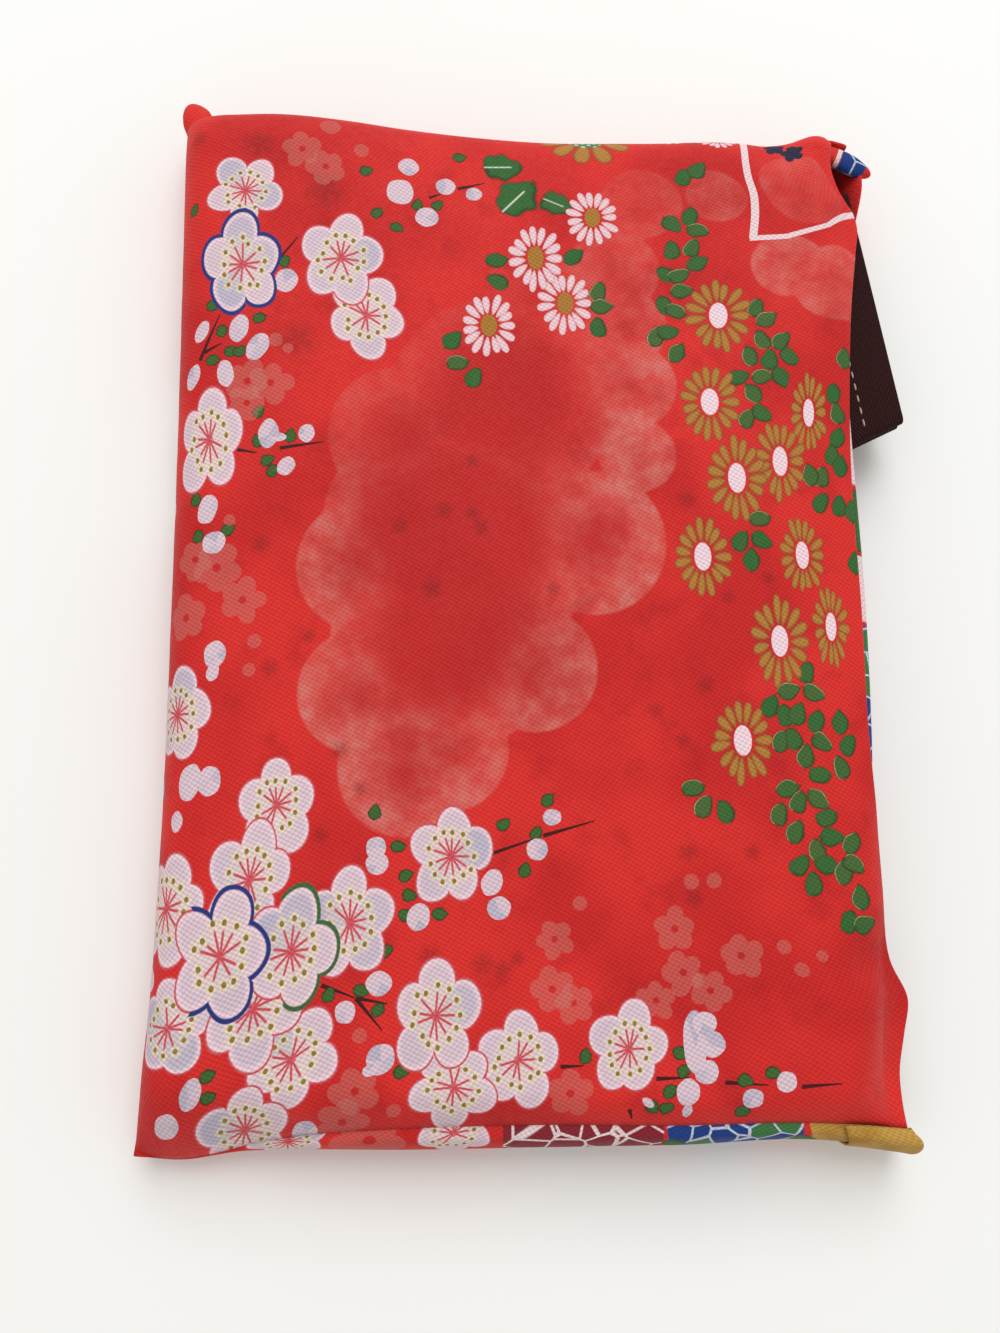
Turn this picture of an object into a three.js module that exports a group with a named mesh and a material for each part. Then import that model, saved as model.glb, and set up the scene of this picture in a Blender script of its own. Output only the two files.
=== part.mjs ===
// A fold-away tote bag, folded and packed in its own cloth pouch.
// Millimetres, +Z up. The pouch lies flat on z = 0, with the origin under its middle.
// The mouth of the pouch is its +X side. +Y runs along the pouch, towards its top seam.

import * as THREE from 'three';

// Pouch
const pouchWidth = 123.5; // mouth to left seam, at mid-length
const pouchLength = 189; // bottom seam to top seam, at mid-width
const cornerReach = 2.5; // how far the corners stand out past the drawn-in sides
const mouthFlare = 6; // how far the mouth's two corners stand out
const cornerSharpness = 6; // power of the curve that draws the sides in
const pouchWall = 0.6; // cloth with its coating
const seamHeight = 7; // of the three seams above the table
const seamGap = 0.3; // between the two panels' edges
const frontRound = 10; // how far in the front panel rolls over to its full height
const backRound = 8; // how far in the back panel rolls down to the table
const frontCrown = 2.5; // rise of the front panel's middle over its mouth edge
const mouthHemWidth = 10;
const hemThickness = 0.35;
const hemBond = 0.1; // between a hem and the panel that it is turned from
const hemThreadWidth = 0.6;
const seamThread = 0.7; // thickness of the seam's stitch line

// Tote
const toteCloth = 0.35;
const pairGap = 0.5; // between the front and back panels, where their seam threads lie
const layerGap = 0.3; // between folds that lie on each other
const acrossRuns = 3; // folded in thirds across
const alongRuns = 2; // folded in half lengthwise
const mouthOverhang = 2.2; // how far the folded edge stands out of the mouth
const bindingWidth = 2.4;
const topHemDepth = 16;
const toteThread = 0.3;
const toteThreadWidth = 0.8;
const threadInset = 5; // from the edge of the cloth to its stitch line

// Handles
const webbingWidth = 24;
const webbingThickness = 1.1;
const handleRuns = 5;
const handleRun = 46; // length of one fold of the webbing
const handleLayerGap = 0.2;
const edgeThread = 0.25;
const edgeThreadWidth = 0.6;
const edgeThreadInset = 7.5; // from the webbing's outer edge
const frontHandleTurn = 10; // degrees that the front handle leans out of the mouth
const frontHandleReach = 11.8; // how far its lower corner stands out of the mouth
const handleFootSetback = 59.5; // from the top seam to the handles' lower corners
const backHandleSetback = 24; // from the mouth to the back handle's outer edge

// Clearances and steps of the mesh
const seatGap = 0.3; // between pieces that lie on each other
const roundSteps = 5; // facets of a rolled edge
const tightTurnSteps = 4; // facets of a fold in thirds
const wideTurnSteps = 8; // facets of the lengthwise fold
const handleTurnSteps = 4; // facets of a fold in the webbing
const crownColumns = 4; // facets of the crown across
const crownRows = 6; // facets of the crown along

// Worked out from the sizes above
const mouthX = pouchWidth / 2;
const leftX = -pouchWidth / 2;
const topY = pouchLength / 2;

const pairThickness = 2 * toteCloth + pairGap;
const acrossRadius = (pairThickness + layerGap) / 2;
const thirdsThickness = (acrossRuns - 1) * 2 * acrossRadius + pairThickness;
const webbingPitch = webbingThickness + handleLayerGap;
const bundleHeight = (handleRuns - 1) * webbingPitch + webbingThickness;
const handleRoom = bundleHeight + 2 * edgeThread + 2 * seatGap;
const alongRadius = (thirdsThickness + handleRoom) / 2;
const stackHeight = (alongRuns - 1) * 2 * alongRadius + thirdsThickness;
const stackBase = pouchWall + hemBond + hemThickness + seatGap;
const stackLeft = leftX + frontRound;
const stackRight = mouthX + mouthOverhang;
const stackFar = topY - frontRound;
const acrossEnd = acrossRadius + pairThickness / 2;
const acrossRun = stackRight - stackLeft - 2 * acrossEnd;
const alongEnd = alongRadius + thirdsThickness / 2;
const alongRun = 2 * stackFar - alongEnd;
const clothWidth = acrossRuns * acrossRun + (acrossRuns - 1) * Math.PI * acrossRadius;
const clothLength = alongRuns * alongRun + (alongRuns - 1) * Math.PI * alongRadius;
const lipHeight = stackBase + stackHeight + seatGap + hemThickness + hemBond + pouchWall;

// Materials
const cloth = (color) => new THREE.MeshStandardMaterial({ color, roughness: 0.7, metalness: 0 });
const redPrint = cloth('#d8282a');
const rosePrint = cloth('#c9474a');
const toteCoat = cloth('#d33a34');
const brownWebbing = cloth('#3b1614');
const redThread = cloth('#b3262a');
const paleThread = cloth('#b89a8c');

const bag = new THREE.Group();

function addPiece(name, geometry, material) {
  const mesh = new THREE.Mesh(geometry, material);
  mesh.name = name;
  bag.add(mesh);
  return mesh;
}

// A closed sheet with thickness: place(u, v, side) gives the point on its lower (0) or upper (1) face.
function sheetSolid(us, vs, place) {
  const points = [];
  for (const side of [0, 1]) {
    for (const u of us) {
      for (const v of vs) {
        points.push(place(u, v, side));
      }
    }
  }
  const rows = vs.length;
  const at = (i, j, side) => (side * us.length + i) * rows + j;
  const faces = [];
  const quad = (a, b, c, d) => faces.push([a, b, c], [a, c, d]);
  const lastU = us.length - 1;
  const lastV = rows - 1;
  for (let i = 0; i < lastU; i += 1) {
    for (let j = 0; j < lastV; j += 1) {
      quad(at(i, j, 1), at(i + 1, j, 1), at(i + 1, j + 1, 1), at(i, j + 1, 1));
      quad(at(i, j, 0), at(i, j + 1, 0), at(i + 1, j + 1, 0), at(i + 1, j, 0));
    }
    quad(at(i, 0, 0), at(i + 1, 0, 0), at(i + 1, 0, 1), at(i, 0, 1));
    quad(at(i + 1, lastV, 0), at(i, lastV, 0), at(i, lastV, 1), at(i + 1, lastV, 1));
  }
  for (let j = 0; j < lastV; j += 1) {
    quad(at(0, j + 1, 0), at(0, j, 0), at(0, j, 1), at(0, j + 1, 1));
    quad(at(lastU, j, 0), at(lastU, j + 1, 0), at(lastU, j + 1, 1), at(lastU, j, 1));
  }
  return facesOutward(points, faces);
}

// Turns the faces round where the sheet's own directions made them point inwards.
function facesOutward(points, faces) {
  const vector = (index) => new THREE.Vector3(...points[index]);
  let volume = 0;
  for (const [a, b, c] of faces) {
    volume += vector(a).dot(vector(b).cross(vector(c)));
  }
  const outward = volume > 0 ? faces : faces.map(([a, b, c]) => [a, c, b]);
  const geometry = new THREE.BufferGeometry();
  geometry.setAttribute('position', new THREE.Float32BufferAttribute(points.flat(), 3));
  geometry.setIndex(outward.flat());
  geometry.computeVertexNormals();
  return geometry;
}

// Pouch panels
// A line of the panel's mesh: its place, how far the cloth has risen there, and which way it leans in.
function rolledEdge(edge, inward, round) {
  const lines = [];
  for (let step = 0; step < roundSteps; step += 1) {
    const angle = (Math.PI / 2) * (step / roundSteps);
    lines.push({
      at: edge + inward * round * (1 - Math.cos(angle)),
      lift: Math.sin(angle),
      lean: inward * Math.cos(angle),
    });
  }
  return lines;
}

function levelLines(from, to, cells) {
  const lines = [];
  for (let step = 0; step <= cells; step += 1) {
    lines.push({ at: from + (to - from) * (step / cells), lift: 1, lean: 0 });
  }
  return lines;
}

const hemStart = mouthX - mouthHemWidth;
const hemThreadEnd = hemStart - hemBond;
const hemThreadStart = hemThreadEnd - hemThreadWidth;
const hemColumns = levelLines(hemStart, mouthX, 1);
const hemThreadColumns = levelLines(hemThreadStart, hemThreadEnd, 1);

function columnsOf(round) {
  return [
    ...rolledEdge(leftX, 1, round),
    ...levelLines(leftX + round, hemThreadStart, crownColumns),
    ...hemColumns,
  ];
}

function rowsOf(round) {
  return [
    ...rolledEdge(-topY, 1, round),
    ...levelLines(-topY + round, topY - round, crownRows),
    ...rolledEdge(topY, -1, round).reverse(),
  ];
}

// The sides are drawn in between the four corners.
function planPoint(column, row, depth) {
  const s = column.at / mouthX;
  const t = row.at / topY;
  const sideReach = column.at > 0 ? mouthFlare : cornerReach;
  const widen = 1 + (sideReach / mouthX) * Math.abs(t) ** cornerSharpness;
  const lengthen = 1 + (cornerReach / topY) * Math.abs(s) ** cornerSharpness;
  return {
    x: column.at * widen + depth * column.lean,
    y: row.at * lengthen + depth * row.lean,
    bulge: (1 - s * s) * (1 - t * t),
  };
}

// A point of the front panel, or of what lies at that depth under it.
function frontPoint(column, row, depth) {
  const { x, y, bulge } = planPoint(column, row, depth);
  const lift = column.lift * row.lift;
  const foot = seamHeight + seamGap / 2;
  return [x, y, foot + (lipHeight - foot - depth) * lift + frontCrown * bulge];
}

// A point of the back panel, or of what lies at that height over it.
function backPoint(column, row, depth) {
  const { x, y } = planPoint(column, row, depth);
  const lift = column.lift * row.lift;
  const foot = seamHeight - seamGap / 2;
  return [x, y, foot * (1 - lift) + depth * lift];
}

function layer(columns, rows, pointAt, near, far) {
  return sheetSolid(columns, rows, (column, row, side) => pointAt(column, row, side ? near : far));
}

const hemNear = pouchWall + hemBond;
const hemFar = hemNear + hemThickness;
const frontRows = rowsOf(frontRound);
const backRows = rowsOf(backRound);

addPiece('pouch_front_panel', layer(columnsOf(frontRound), frontRows, frontPoint, 0, pouchWall), redPrint);
addPiece('pouch_back_panel', layer(columnsOf(backRound), backRows, backPoint, 0, pouchWall), rosePrint);
addPiece('pouch_front_hem', layer(hemColumns, frontRows, frontPoint, hemNear, hemFar), redPrint);
addPiece('pouch_back_hem', layer(hemColumns, backRows, backPoint, hemNear, hemFar), rosePrint);
addPiece(
  'pouch_front_hem_thread',
  layer(hemThreadColumns, frontRows, frontPoint, hemNear, hemFar),
  redThread,
);
addPiece(
  'pouch_back_hem_thread',
  layer(hemThreadColumns, backRows, backPoint, hemNear, hemFar),
  redThread,
);

// The seam's stitch line runs inside the panels' edges, round three sides, up to the mouth hems.
const seamNear = pouchWall + 2 * seatGap;
const seamFar = seamNear + seamThread;

function seamLine(inset) {
  const columns = columnsOf(frontRound);
  const seamColumns = columns.filter(({ at }) => at > leftX + seamFar && at < hemStart);
  const seamRows = frontRows.filter(({ at }) => Math.abs(at) < topY - seamFar);
  const point = (column, row, insetX, insetY) => {
    const { x, y } = planPoint(column, row, 0);
    return new THREE.Vector2(x + insetX, y + insetY);
  };
  const [leftEdge, bottomEdge, topEdge] = [columns[0], frontRows[0], frontRows.at(-1)];
  return [
    ...seamColumns.map((column) => point(column, bottomEdge, 0, inset)).reverse(),
    point(leftEdge, bottomEdge, inset, inset),
    ...seamRows.map((row) => point(leftEdge, row, inset, 0)),
    point(leftEdge, topEdge, inset, -inset),
    ...seamColumns.map((column) => point(column, topEdge, 0, -inset)),
  ];
}

const seamShape = new THREE.Shape([...seamLine(seamNear), ...seamLine(seamFar).reverse()]);
const seamGeometry = new THREE.ExtrudeGeometry(seamShape, { depth: seamThread, bevelEnabled: false });
addPiece('pouch_seam_thread', seamGeometry, redThread).position.z = seamHeight - seamThread / 2;

// Folds
// Where a path that runs to and fro comes to: straight runs, joined by half turns, each above the last.
function serpentine(distance, offset, run, radius, runs) {
  const stride = run + Math.PI * radius;
  const leg = Math.min(runs - 1, Math.max(0, Math.floor(distance / stride)));
  const into = distance - leg * stride;
  const forward = leg % 2 === 0;
  const heading = forward ? 1 : -1;
  const level = leg * 2 * radius;
  if (into <= run || leg === runs - 1) {
    return { along: forward ? into : run - into, up: level + heading * offset };
  }
  const angle = (into - run) / radius;
  const reach = (radius - heading * offset) * Math.sin(angle);
  return {
    along: forward ? run + reach : -reach,
    up: level + radius - (radius - heading * offset) * Math.cos(angle),
  };
}

// The places along such a path where a sheet from low to high has a line of its mesh.
function foldLines(low, high, run, radius, runs, steps) {
  const stride = run + Math.PI * radius;
  const lines = [low];
  for (let leg = 0; leg < runs - 1; leg += 1) {
    for (let step = 0; step <= steps; step += 1) {
      lines.push(leg * stride + run + (Math.PI * radius * step) / steps);
    }
  }
  lines.push(high);
  return lines.filter((line) => line >= low && line <= high);
}

// A piece of the tote: u across the flat cloth, v from its bottom seam to its top hem, w out of the cloth.
function foldedPiece([uLow, uHigh], [vLow, vHigh], [wLow, wHigh]) {
  const us = foldLines(uLow, uHigh, acrossRun, acrossRadius, acrossRuns, tightTurnSteps);
  const vs = foldLines(vLow, vHigh, alongRun, alongRadius, alongRuns, wideTurnSteps);
  const middle = (acrossRuns - 1) * acrossRadius;
  return sheetSolid(us, vs, (u, v, side) => {
    const thirds = serpentine(u, side ? wHigh : wLow, acrossRun, acrossRadius, acrossRuns);
    const halves = serpentine(v, thirds.up - middle, alongRun, alongRadius, alongRuns);
    return [
      stackLeft + acrossEnd + thirds.along,
      stackFar - halves.along,
      stackBase + thirdsThickness / 2 + halves.up,
    ];
  });
}

// Tote
const clothU = [bindingWidth + seatGap, clothWidth - bindingWidth - seatGap];
const clothV = [bindingWidth + seatGap, clothLength - topHemDepth - seatGap];
const hemV = [clothLength - topHemDepth, clothLength];
const frontW = [pairGap / 2, pairGap / 2 + toteCloth];
const backW = [-frontW[1], -frontW[0]];
const bindingW = [-pairThickness / 2, pairThickness / 2];
const threadW = [-toteThread / 2, toteThread / 2];
const leftEdgeU = [0, bindingWidth];
const rightEdgeU = [clothWidth - bindingWidth, clothWidth];
const bottomEdgeV = [0, bindingWidth];

const stitchLine = (start) => [start, start + toteThreadWidth];
const leftThreadU = stitchLine(clothU[0] + threadInset);
const rightThreadU = stitchLine(clothU[1] - threadInset - toteThreadWidth);
const bottomThreadV = stitchLine(clothV[0] + threadInset);
const frontHemThreadV = stitchLine(hemV[0] + toteThreadWidth);
const backHemThreadV = stitchLine(frontHemThreadV[1] + seatGap);
const betweenThreadsU = [leftThreadU[1] + seatGap, rightThreadU[0] - seatGap];
const aboveBottomThreadV = [bottomThreadV[1] + seatGap, clothV[1]];

addPiece('tote_front_panel', foldedPiece(clothU, clothV, frontW), toteCoat);
addPiece('tote_back_panel', foldedPiece(clothU, clothV, backW), toteCoat);
addPiece('tote_left_seam_binding', foldedPiece(leftEdgeU, clothV, bindingW), redThread);
addPiece('tote_right_seam_binding', foldedPiece(rightEdgeU, clothV, bindingW), redThread);
addPiece('tote_bottom_seam_binding', foldedPiece(clothU, bottomEdgeV, bindingW), redThread);
addPiece('tote_front_top_hem', foldedPiece(clothU, hemV, frontW), toteCoat);
addPiece('tote_back_top_hem', foldedPiece(clothU, hemV, backW), toteCoat);
addPiece('tote_left_seam_thread', foldedPiece(leftThreadU, aboveBottomThreadV, threadW), redThread);
addPiece('tote_right_seam_thread', foldedPiece(rightThreadU, aboveBottomThreadV, threadW), redThread);
addPiece('tote_bottom_seam_thread', foldedPiece(clothU, bottomThreadV, threadW), redThread);
addPiece('tote_front_hem_thread', foldedPiece(betweenThreadsU, frontHemThreadV, threadW), redThread);
addPiece('tote_back_hem_thread', foldedPiece(betweenThreadsU, backHemThreadV, threadW), redThread);

// Handles
// A webbing handle folded to and fro, lying between the two halves of the folded cloth.
// Its outer lower corner is at (footX, footY), and it leans by turn degrees from the pouch's length.
function addHandle(name, footX, footY, turn) {
  const radius = webbingPitch / 2;
  const base = stackBase + thirdsThickness + seatGap + webbingThickness / 2;
  const angle = THREE.MathUtils.degToRad(turn);
  const place = (inset, { along, up }) => [
    footX - along * Math.sin(angle) - inset * Math.cos(angle),
    footY + along * Math.cos(angle) - inset * Math.sin(angle),
    base + up,
  ];
  const total = handleRuns * handleRun + (handleRuns - 1) * Math.PI * radius;
  const folds = foldLines(0, total, handleRun, radius, handleRuns, handleTurnSteps);
  const webbing = sheetSolid(folds, [0, webbingWidth], (distance, inset, side) => {
    const offset = side ? webbingThickness / 2 : -webbingThickness / 2;
    return place(inset, serpentine(distance, offset, handleRun, radius, handleRuns));
  });
  addPiece(name, webbing, brownWebbing);

  const threadBase = bundleHeight - webbingThickness / 2 + edgeThread;
  const stitches = [edgeThreadInset, edgeThreadInset + edgeThreadWidth];
  const thread = sheetSolid([0, handleRun], stitches, (along, inset, side) =>
    place(inset, { along, up: threadBase + (side ? edgeThread : 0) }),
  );
  addPiece(`${name}_edge_thread`, thread, paleThread);
}

const handleFoot = topY - handleFootSetback;
addHandle('front_handle', mouthX + frontHandleReach, handleFoot, frontHandleTurn);
addHandle('back_handle', mouthX - backHandleSetback, handleFoot, 0);

export default bag;
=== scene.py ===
# %% [markdown]
# # A fold-away tote, packed in its own cloth pouch
# The imported model gives the frame: where each piece is, and which body it moves with. This lesson dresses
# that frame in cloth. First come the tools that every step uses, then the camera and the light, then the
# printed cloth, and then each piece in turn: pouch, tote, handles and stitching.

# %% Load the frame
import math

import bpy
import bmesh
import numpy as np
from mathutils import Matrix, Vector


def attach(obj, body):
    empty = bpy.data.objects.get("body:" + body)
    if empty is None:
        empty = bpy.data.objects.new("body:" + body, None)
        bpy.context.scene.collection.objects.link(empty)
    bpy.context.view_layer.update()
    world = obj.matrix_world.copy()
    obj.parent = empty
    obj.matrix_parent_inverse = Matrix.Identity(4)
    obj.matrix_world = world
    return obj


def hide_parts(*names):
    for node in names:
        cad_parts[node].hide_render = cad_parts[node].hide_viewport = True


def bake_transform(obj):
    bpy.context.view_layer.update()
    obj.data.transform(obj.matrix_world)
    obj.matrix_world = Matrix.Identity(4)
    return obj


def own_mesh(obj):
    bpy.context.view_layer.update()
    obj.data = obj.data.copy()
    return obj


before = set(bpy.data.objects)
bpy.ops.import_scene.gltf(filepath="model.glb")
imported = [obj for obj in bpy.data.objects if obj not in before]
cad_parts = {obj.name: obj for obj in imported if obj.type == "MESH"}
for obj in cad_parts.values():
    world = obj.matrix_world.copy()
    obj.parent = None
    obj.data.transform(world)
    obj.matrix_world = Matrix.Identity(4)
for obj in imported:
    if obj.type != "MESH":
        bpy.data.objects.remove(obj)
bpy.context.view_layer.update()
MM = 0.001

# %% [markdown]
# Colours are chosen as sRGB hex values, as a colour picker shows them, but shaders work with linear
# light. One function turns the one into the other. A second one adds a shader node, sets what is special
# about it and wires its inputs, so that a material reads from top to bottom like a recipe. Two colours are
# mixed again and again, so the settings for that have a name.

# %% Helpers for colours and shader nodes
def linear(code):
    channels = [int(code[i:i + 2], 16) / 255 for i in (1, 3, 5)]
    bright = [c / 12.92 if c <= 0.04045 else ((c + 0.055) / 1.055) ** 2.4 for c in channels]
    return (*bright, 1.0)


def add(tree, kind, inputs=(), out=0, **settings):
    made = tree.nodes.new(kind if kind.startswith("Node") else "ShaderNode" + kind)
    for name, value in settings.items():
        setattr(made, name, value)
    wires = inputs.items() if isinstance(inputs, dict) else enumerate(inputs)
    for place, value in wires:
        if isinstance(value, bpy.types.NodeSocket):
            tree.links.new(value, made.inputs[place])
        elif value is not None:
            made.inputs[place].default_value = value
    return made.outputs[out] if len(made.outputs) else made


BLEND = {"out": 2, "data_type": "RGBA"}
print("red ground in linear light:", [round(c, 3) for c in linear("#DC2C2B")])

# %% [markdown]
# The picture was taken by hand from above, a little below and left of the middle. The camera stands where
# the pouch's corners fall on their places in the picture, and its lens is that of a phone.

# %% Camera
CAMERA_LENS = 30.06
CAMERA_PLACE = (-15.2, -42.4, 207.5)
CAMERA_TURN = (8.83, -3.67, -0.46)

camera_data = bpy.data.cameras.new("phone_camera")
camera_data.sensor_width = 36.0
camera_data.lens = CAMERA_LENS
camera_data.clip_start = 10 * MM
camera = bpy.data.objects.new("phone_camera", camera_data)
camera.location = Vector(CAMERA_PLACE) * MM
camera.rotation_euler = [math.radians(angle) for angle in CAMERA_TURN]
scene = bpy.context.scene
scene.collection.objects.link(camera)
scene.camera = camera
scene.view_settings.view_transform = "Standard"
print("camera height in mm:", round(camera.location.z / MM, 1))

# %% [markdown]
# The light is that of a bright room: it comes from all round, most of it from a wide window beyond the top
# edge, so the shadow is soft and falls below the bottom edge and a little to both sides. A white dome and
# one large area lamp give it. The table is matt and white. Its own colour makes the background pale, so no
# more light is needed.

# %% Light and table
ROOM_STRENGTH = 0.68
WINDOW_POWER = 23.0
WINDOW_SIZE = (1.2, 1.5)
WINDOW_PLACE = (0.1, 1.2, 1.5)
WINDOW_AIM = (0, 0, 0.01)
TABLE_HALF = 1.5

world = bpy.data.worlds.new("bright_room")
world.use_nodes = True
room = world.node_tree.nodes["Background"]
room.inputs["Color"].default_value = linear("#FCFAF7")
room.inputs["Strength"].default_value = ROOM_STRENGTH
scene.world = world

window_data = bpy.data.lights.new("window", "AREA")
window_data.shape = "RECTANGLE"
window_data.size, window_data.size_y = WINDOW_SIZE
window_data.energy = WINDOW_POWER
window_data.color = linear("#FBFCFE")[:3]
window = bpy.data.objects.new("window", window_data)
window.location = WINDOW_PLACE
window.rotation_euler = (Vector(WINDOW_AIM) - window.location).to_track_quat("-Z", "Y").to_euler()
scene.collection.objects.link(window)

table_bm = bmesh.new()
bmesh.ops.create_grid(table_bm, x_segments=8, y_segments=8, size=TABLE_HALF)
table_mesh = bpy.data.meshes.new("table")
table_bm.to_mesh(table_mesh)
table_bm.free()
table = bpy.data.objects.new("table", table_mesh)
scene.collection.objects.link(table)

# Matt melamine board: nearly white, with a faint warm cloudiness and no gloss to speak of.
matt_board = bpy.data.materials.new("matt_melamine_board")
matt_board.use_nodes = True
tree = matt_board.node_tree
board = tree.nodes["Principled BSDF"]
at = add(tree, "TexCoord", out=3)
cloudy = add(tree, "TexNoise", {0: at, 2: 6.0, 3: 3.0})
tint = add(tree, "Mix", {0: cloudy, 6: linear("#F0F1EF"), 7: linear("#F5F5F2")}, **BLEND)
tree.links.new(tint, board.inputs["Base Color"])
board.inputs["Roughness"].default_value = 0.75
board.inputs["Specular IOR Level"].default_value = 0.25
table_mesh.materials.append(matt_board)
print("lamp power in W:", window_data.energy)

# %% [markdown]
# A piece of cloth begins as a flat grid. Each line of the grid has its place on the cut cloth, in
# millimetres, and a function says where that place lies on the finished bag. A cloth simulation could drape
# it too, but its creases would fall anew after every change, and here they stay where they were seen. The
# flat place is kept on the mesh as the attribute `cloth_mm`, so that weave and print follow every fold.

# %% Helpers for cloth
def grid_cloth(name, us, vs, place, material, flip=False, wall=0.0):
    us, vs = np.asarray(us, float), np.asarray(vs, float)
    bm = bmesh.new()
    bmesh.ops.create_grid(bm, x_segments=len(us) - 1, y_segments=len(vs) - 1, size=0.5)
    if flip:
        bmesh.ops.reverse_faces(bm, faces=bm.faces)
    mesh = bpy.data.meshes.new(name)
    bm.to_mesh(mesh)
    bm.free()
    flat = np.empty(len(mesh.vertices) * 3)
    mesh.vertices.foreach_get("co", flat)
    flat = flat.reshape(-1, 3)
    u = us[np.rint((flat[:, 0] + 0.5) * (len(us) - 1)).astype(int)]
    v = vs[np.rint((flat[:, 1] + 0.5) * (len(vs) - 1)).astype(int)]
    mesh.vertices.foreach_set("co", (np.stack(place(u, v), axis=1) * MM).ravel())
    cloth_place = mesh.attributes.new("cloth_mm", "FLOAT_VECTOR", "POINT")
    cloth_place.data.foreach_set("vector", np.stack([u, v, u * 0], axis=1).ravel())
    mesh.shade_smooth()
    mesh.update()
    piece = bpy.data.objects.new(name, mesh)
    scene.collection.objects.link(piece)
    mesh.materials.append(material)
    if wall:
        thick = piece.modifiers.new("wall", "SOLIDIFY")
        thick.thickness = wall * MM
        thick.offset = -1.0
    print(name, "has", len(mesh.polygons), "faces on", round(np.ptp(u), 1), "x", round(np.ptp(v), 1), "mm")
    return piece


def smooth_path(stops, at):
    xs, ys = np.array(stops, float).T
    slopes = np.gradient(ys, xs)
    i = np.clip(np.searchsorted(xs, at) - 1, 0, len(xs) - 2)
    step = xs[i + 1] - xs[i]
    t = np.clip((at - xs[i]) / step, 0, 1)
    rise = ys[i] + (ys[i + 1] - ys[i]) * t * t * (3 - 2 * t)
    return rise + step * t * (1 - t) * (slopes[i] * (1 - t) - slopes[i + 1] * t)


def ramp(value, start, end):
    t = np.clip((value - start) / (end - start), 0, 1)
    return t * t * (3 - 2 * t)


RIPPLE_COUNT = 14


def ripples(u, v, seed, longest, shortest):
    chance = np.random.default_rng(seed)
    total = np.zeros_like(u)
    for _ in range(RIPPLE_COUNT):
        length = np.exp(chance.uniform(np.log(shortest), np.log(longest)))
        heading = chance.uniform(0, 2 * np.pi)
        along = u * np.cos(heading) + v * np.sin(heading)
        total += np.sin(2 * np.pi * along / length + chance.uniform(0, 6.3)) * (length / longest)
    return total / np.sqrt(RIPPLE_COUNT)


print("a rippled cloth has", RIPPLE_COUNT, "waves over each other")

# %% [markdown]
# The cloth carries a traditional flower print: plum blossoms, daisies, leaf sprigs, twigs and drifting
# clouds on red. Painting a picture file would fix its sharpness, so each flower is drawn by the shader. A
# "stamp" is a node group that draws one motif round its own middle, over the colour that lies below it.
# Every face of the cloth carries, as attributes, the places of the few motifs that cross it. The third
# number of such a place says which variant it is, with a seed in its fraction. A soft edge is one node, an
# eased step between two values, because many stamps lie over each other and each of them has to stay light.
# Waves in both directions, which start elsewhere for each seed, make an outline look drawn by hand.

# %% Start of a stamp
SEED_STEPS = 64
SEED_STRIDE = 7.31
EASED = {"interpolation_type": "SMOOTHSTEP", "clamp": False}
X_START, Y_START = 2.3, 1.7


def start_stamp(name):
    group = bpy.data.node_groups.new(name, "ShaderNodeTree")
    group.interface.new_socket("Place", in_out="INPUT", socket_type="NodeSocketColor")
    group.interface.new_socket("Below", in_out="INPUT", socket_type="NodeSocketColor")
    group.interface.new_socket("Colour", in_out="OUTPUT", socket_type="NodeSocketColor")
    place = add(group, "NodeGroupInput")
    x = add(group, "SeparateXYZ", [place])
    y, code = x.node.outputs[1], x.node.outputs[2]
    kind = add(group, "Math", [code], operation="FLOOR")
    part = add(group, "Math", [code], operation="FRACT")
    steps = add(group, "Math", [part, SEED_STEPS], operation="MULTIPLY")
    seed = add(group, "Math", [steps], operation="ROUND")
    return group, place.node.outputs[1], x, y, kind, seed


def drawn_by_hand(tree, x, y, seed, pace):
    waves = []
    for way, start in ((x, X_START), (y, Y_START)):
        begin = add(tree, "Math", [seed, start], operation="MULTIPLY")
        slow = add(tree, "Math", [way, pace, begin], operation="MULTIPLY_ADD")
        waves.append(add(tree, "Math", [slow], operation="SINE"))
    return add(tree, "Math", waves, operation="MULTIPLY")


print("a stamp has", SEED_STEPS, "seeds")

# %% [markdown]
# A plum blossom has five round petals. Five circles would need five times the nodes. Folding the turn round
# the middle into fifths makes one petal into five, and a random number for each fifth keeps them uneven, as
# if drawn by hand.

# %% Petals of the plum blossom
PETALS = 5
PETAL_MIDDLE, MIDDLE_SPREAD = 0.46, 0.17
PETAL_HALF, HALF_SPREAD = 0.38, 0.07
PETAL_SQUEEZE = 0.92
BLOSSOM_HEART = 0.34


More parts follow.
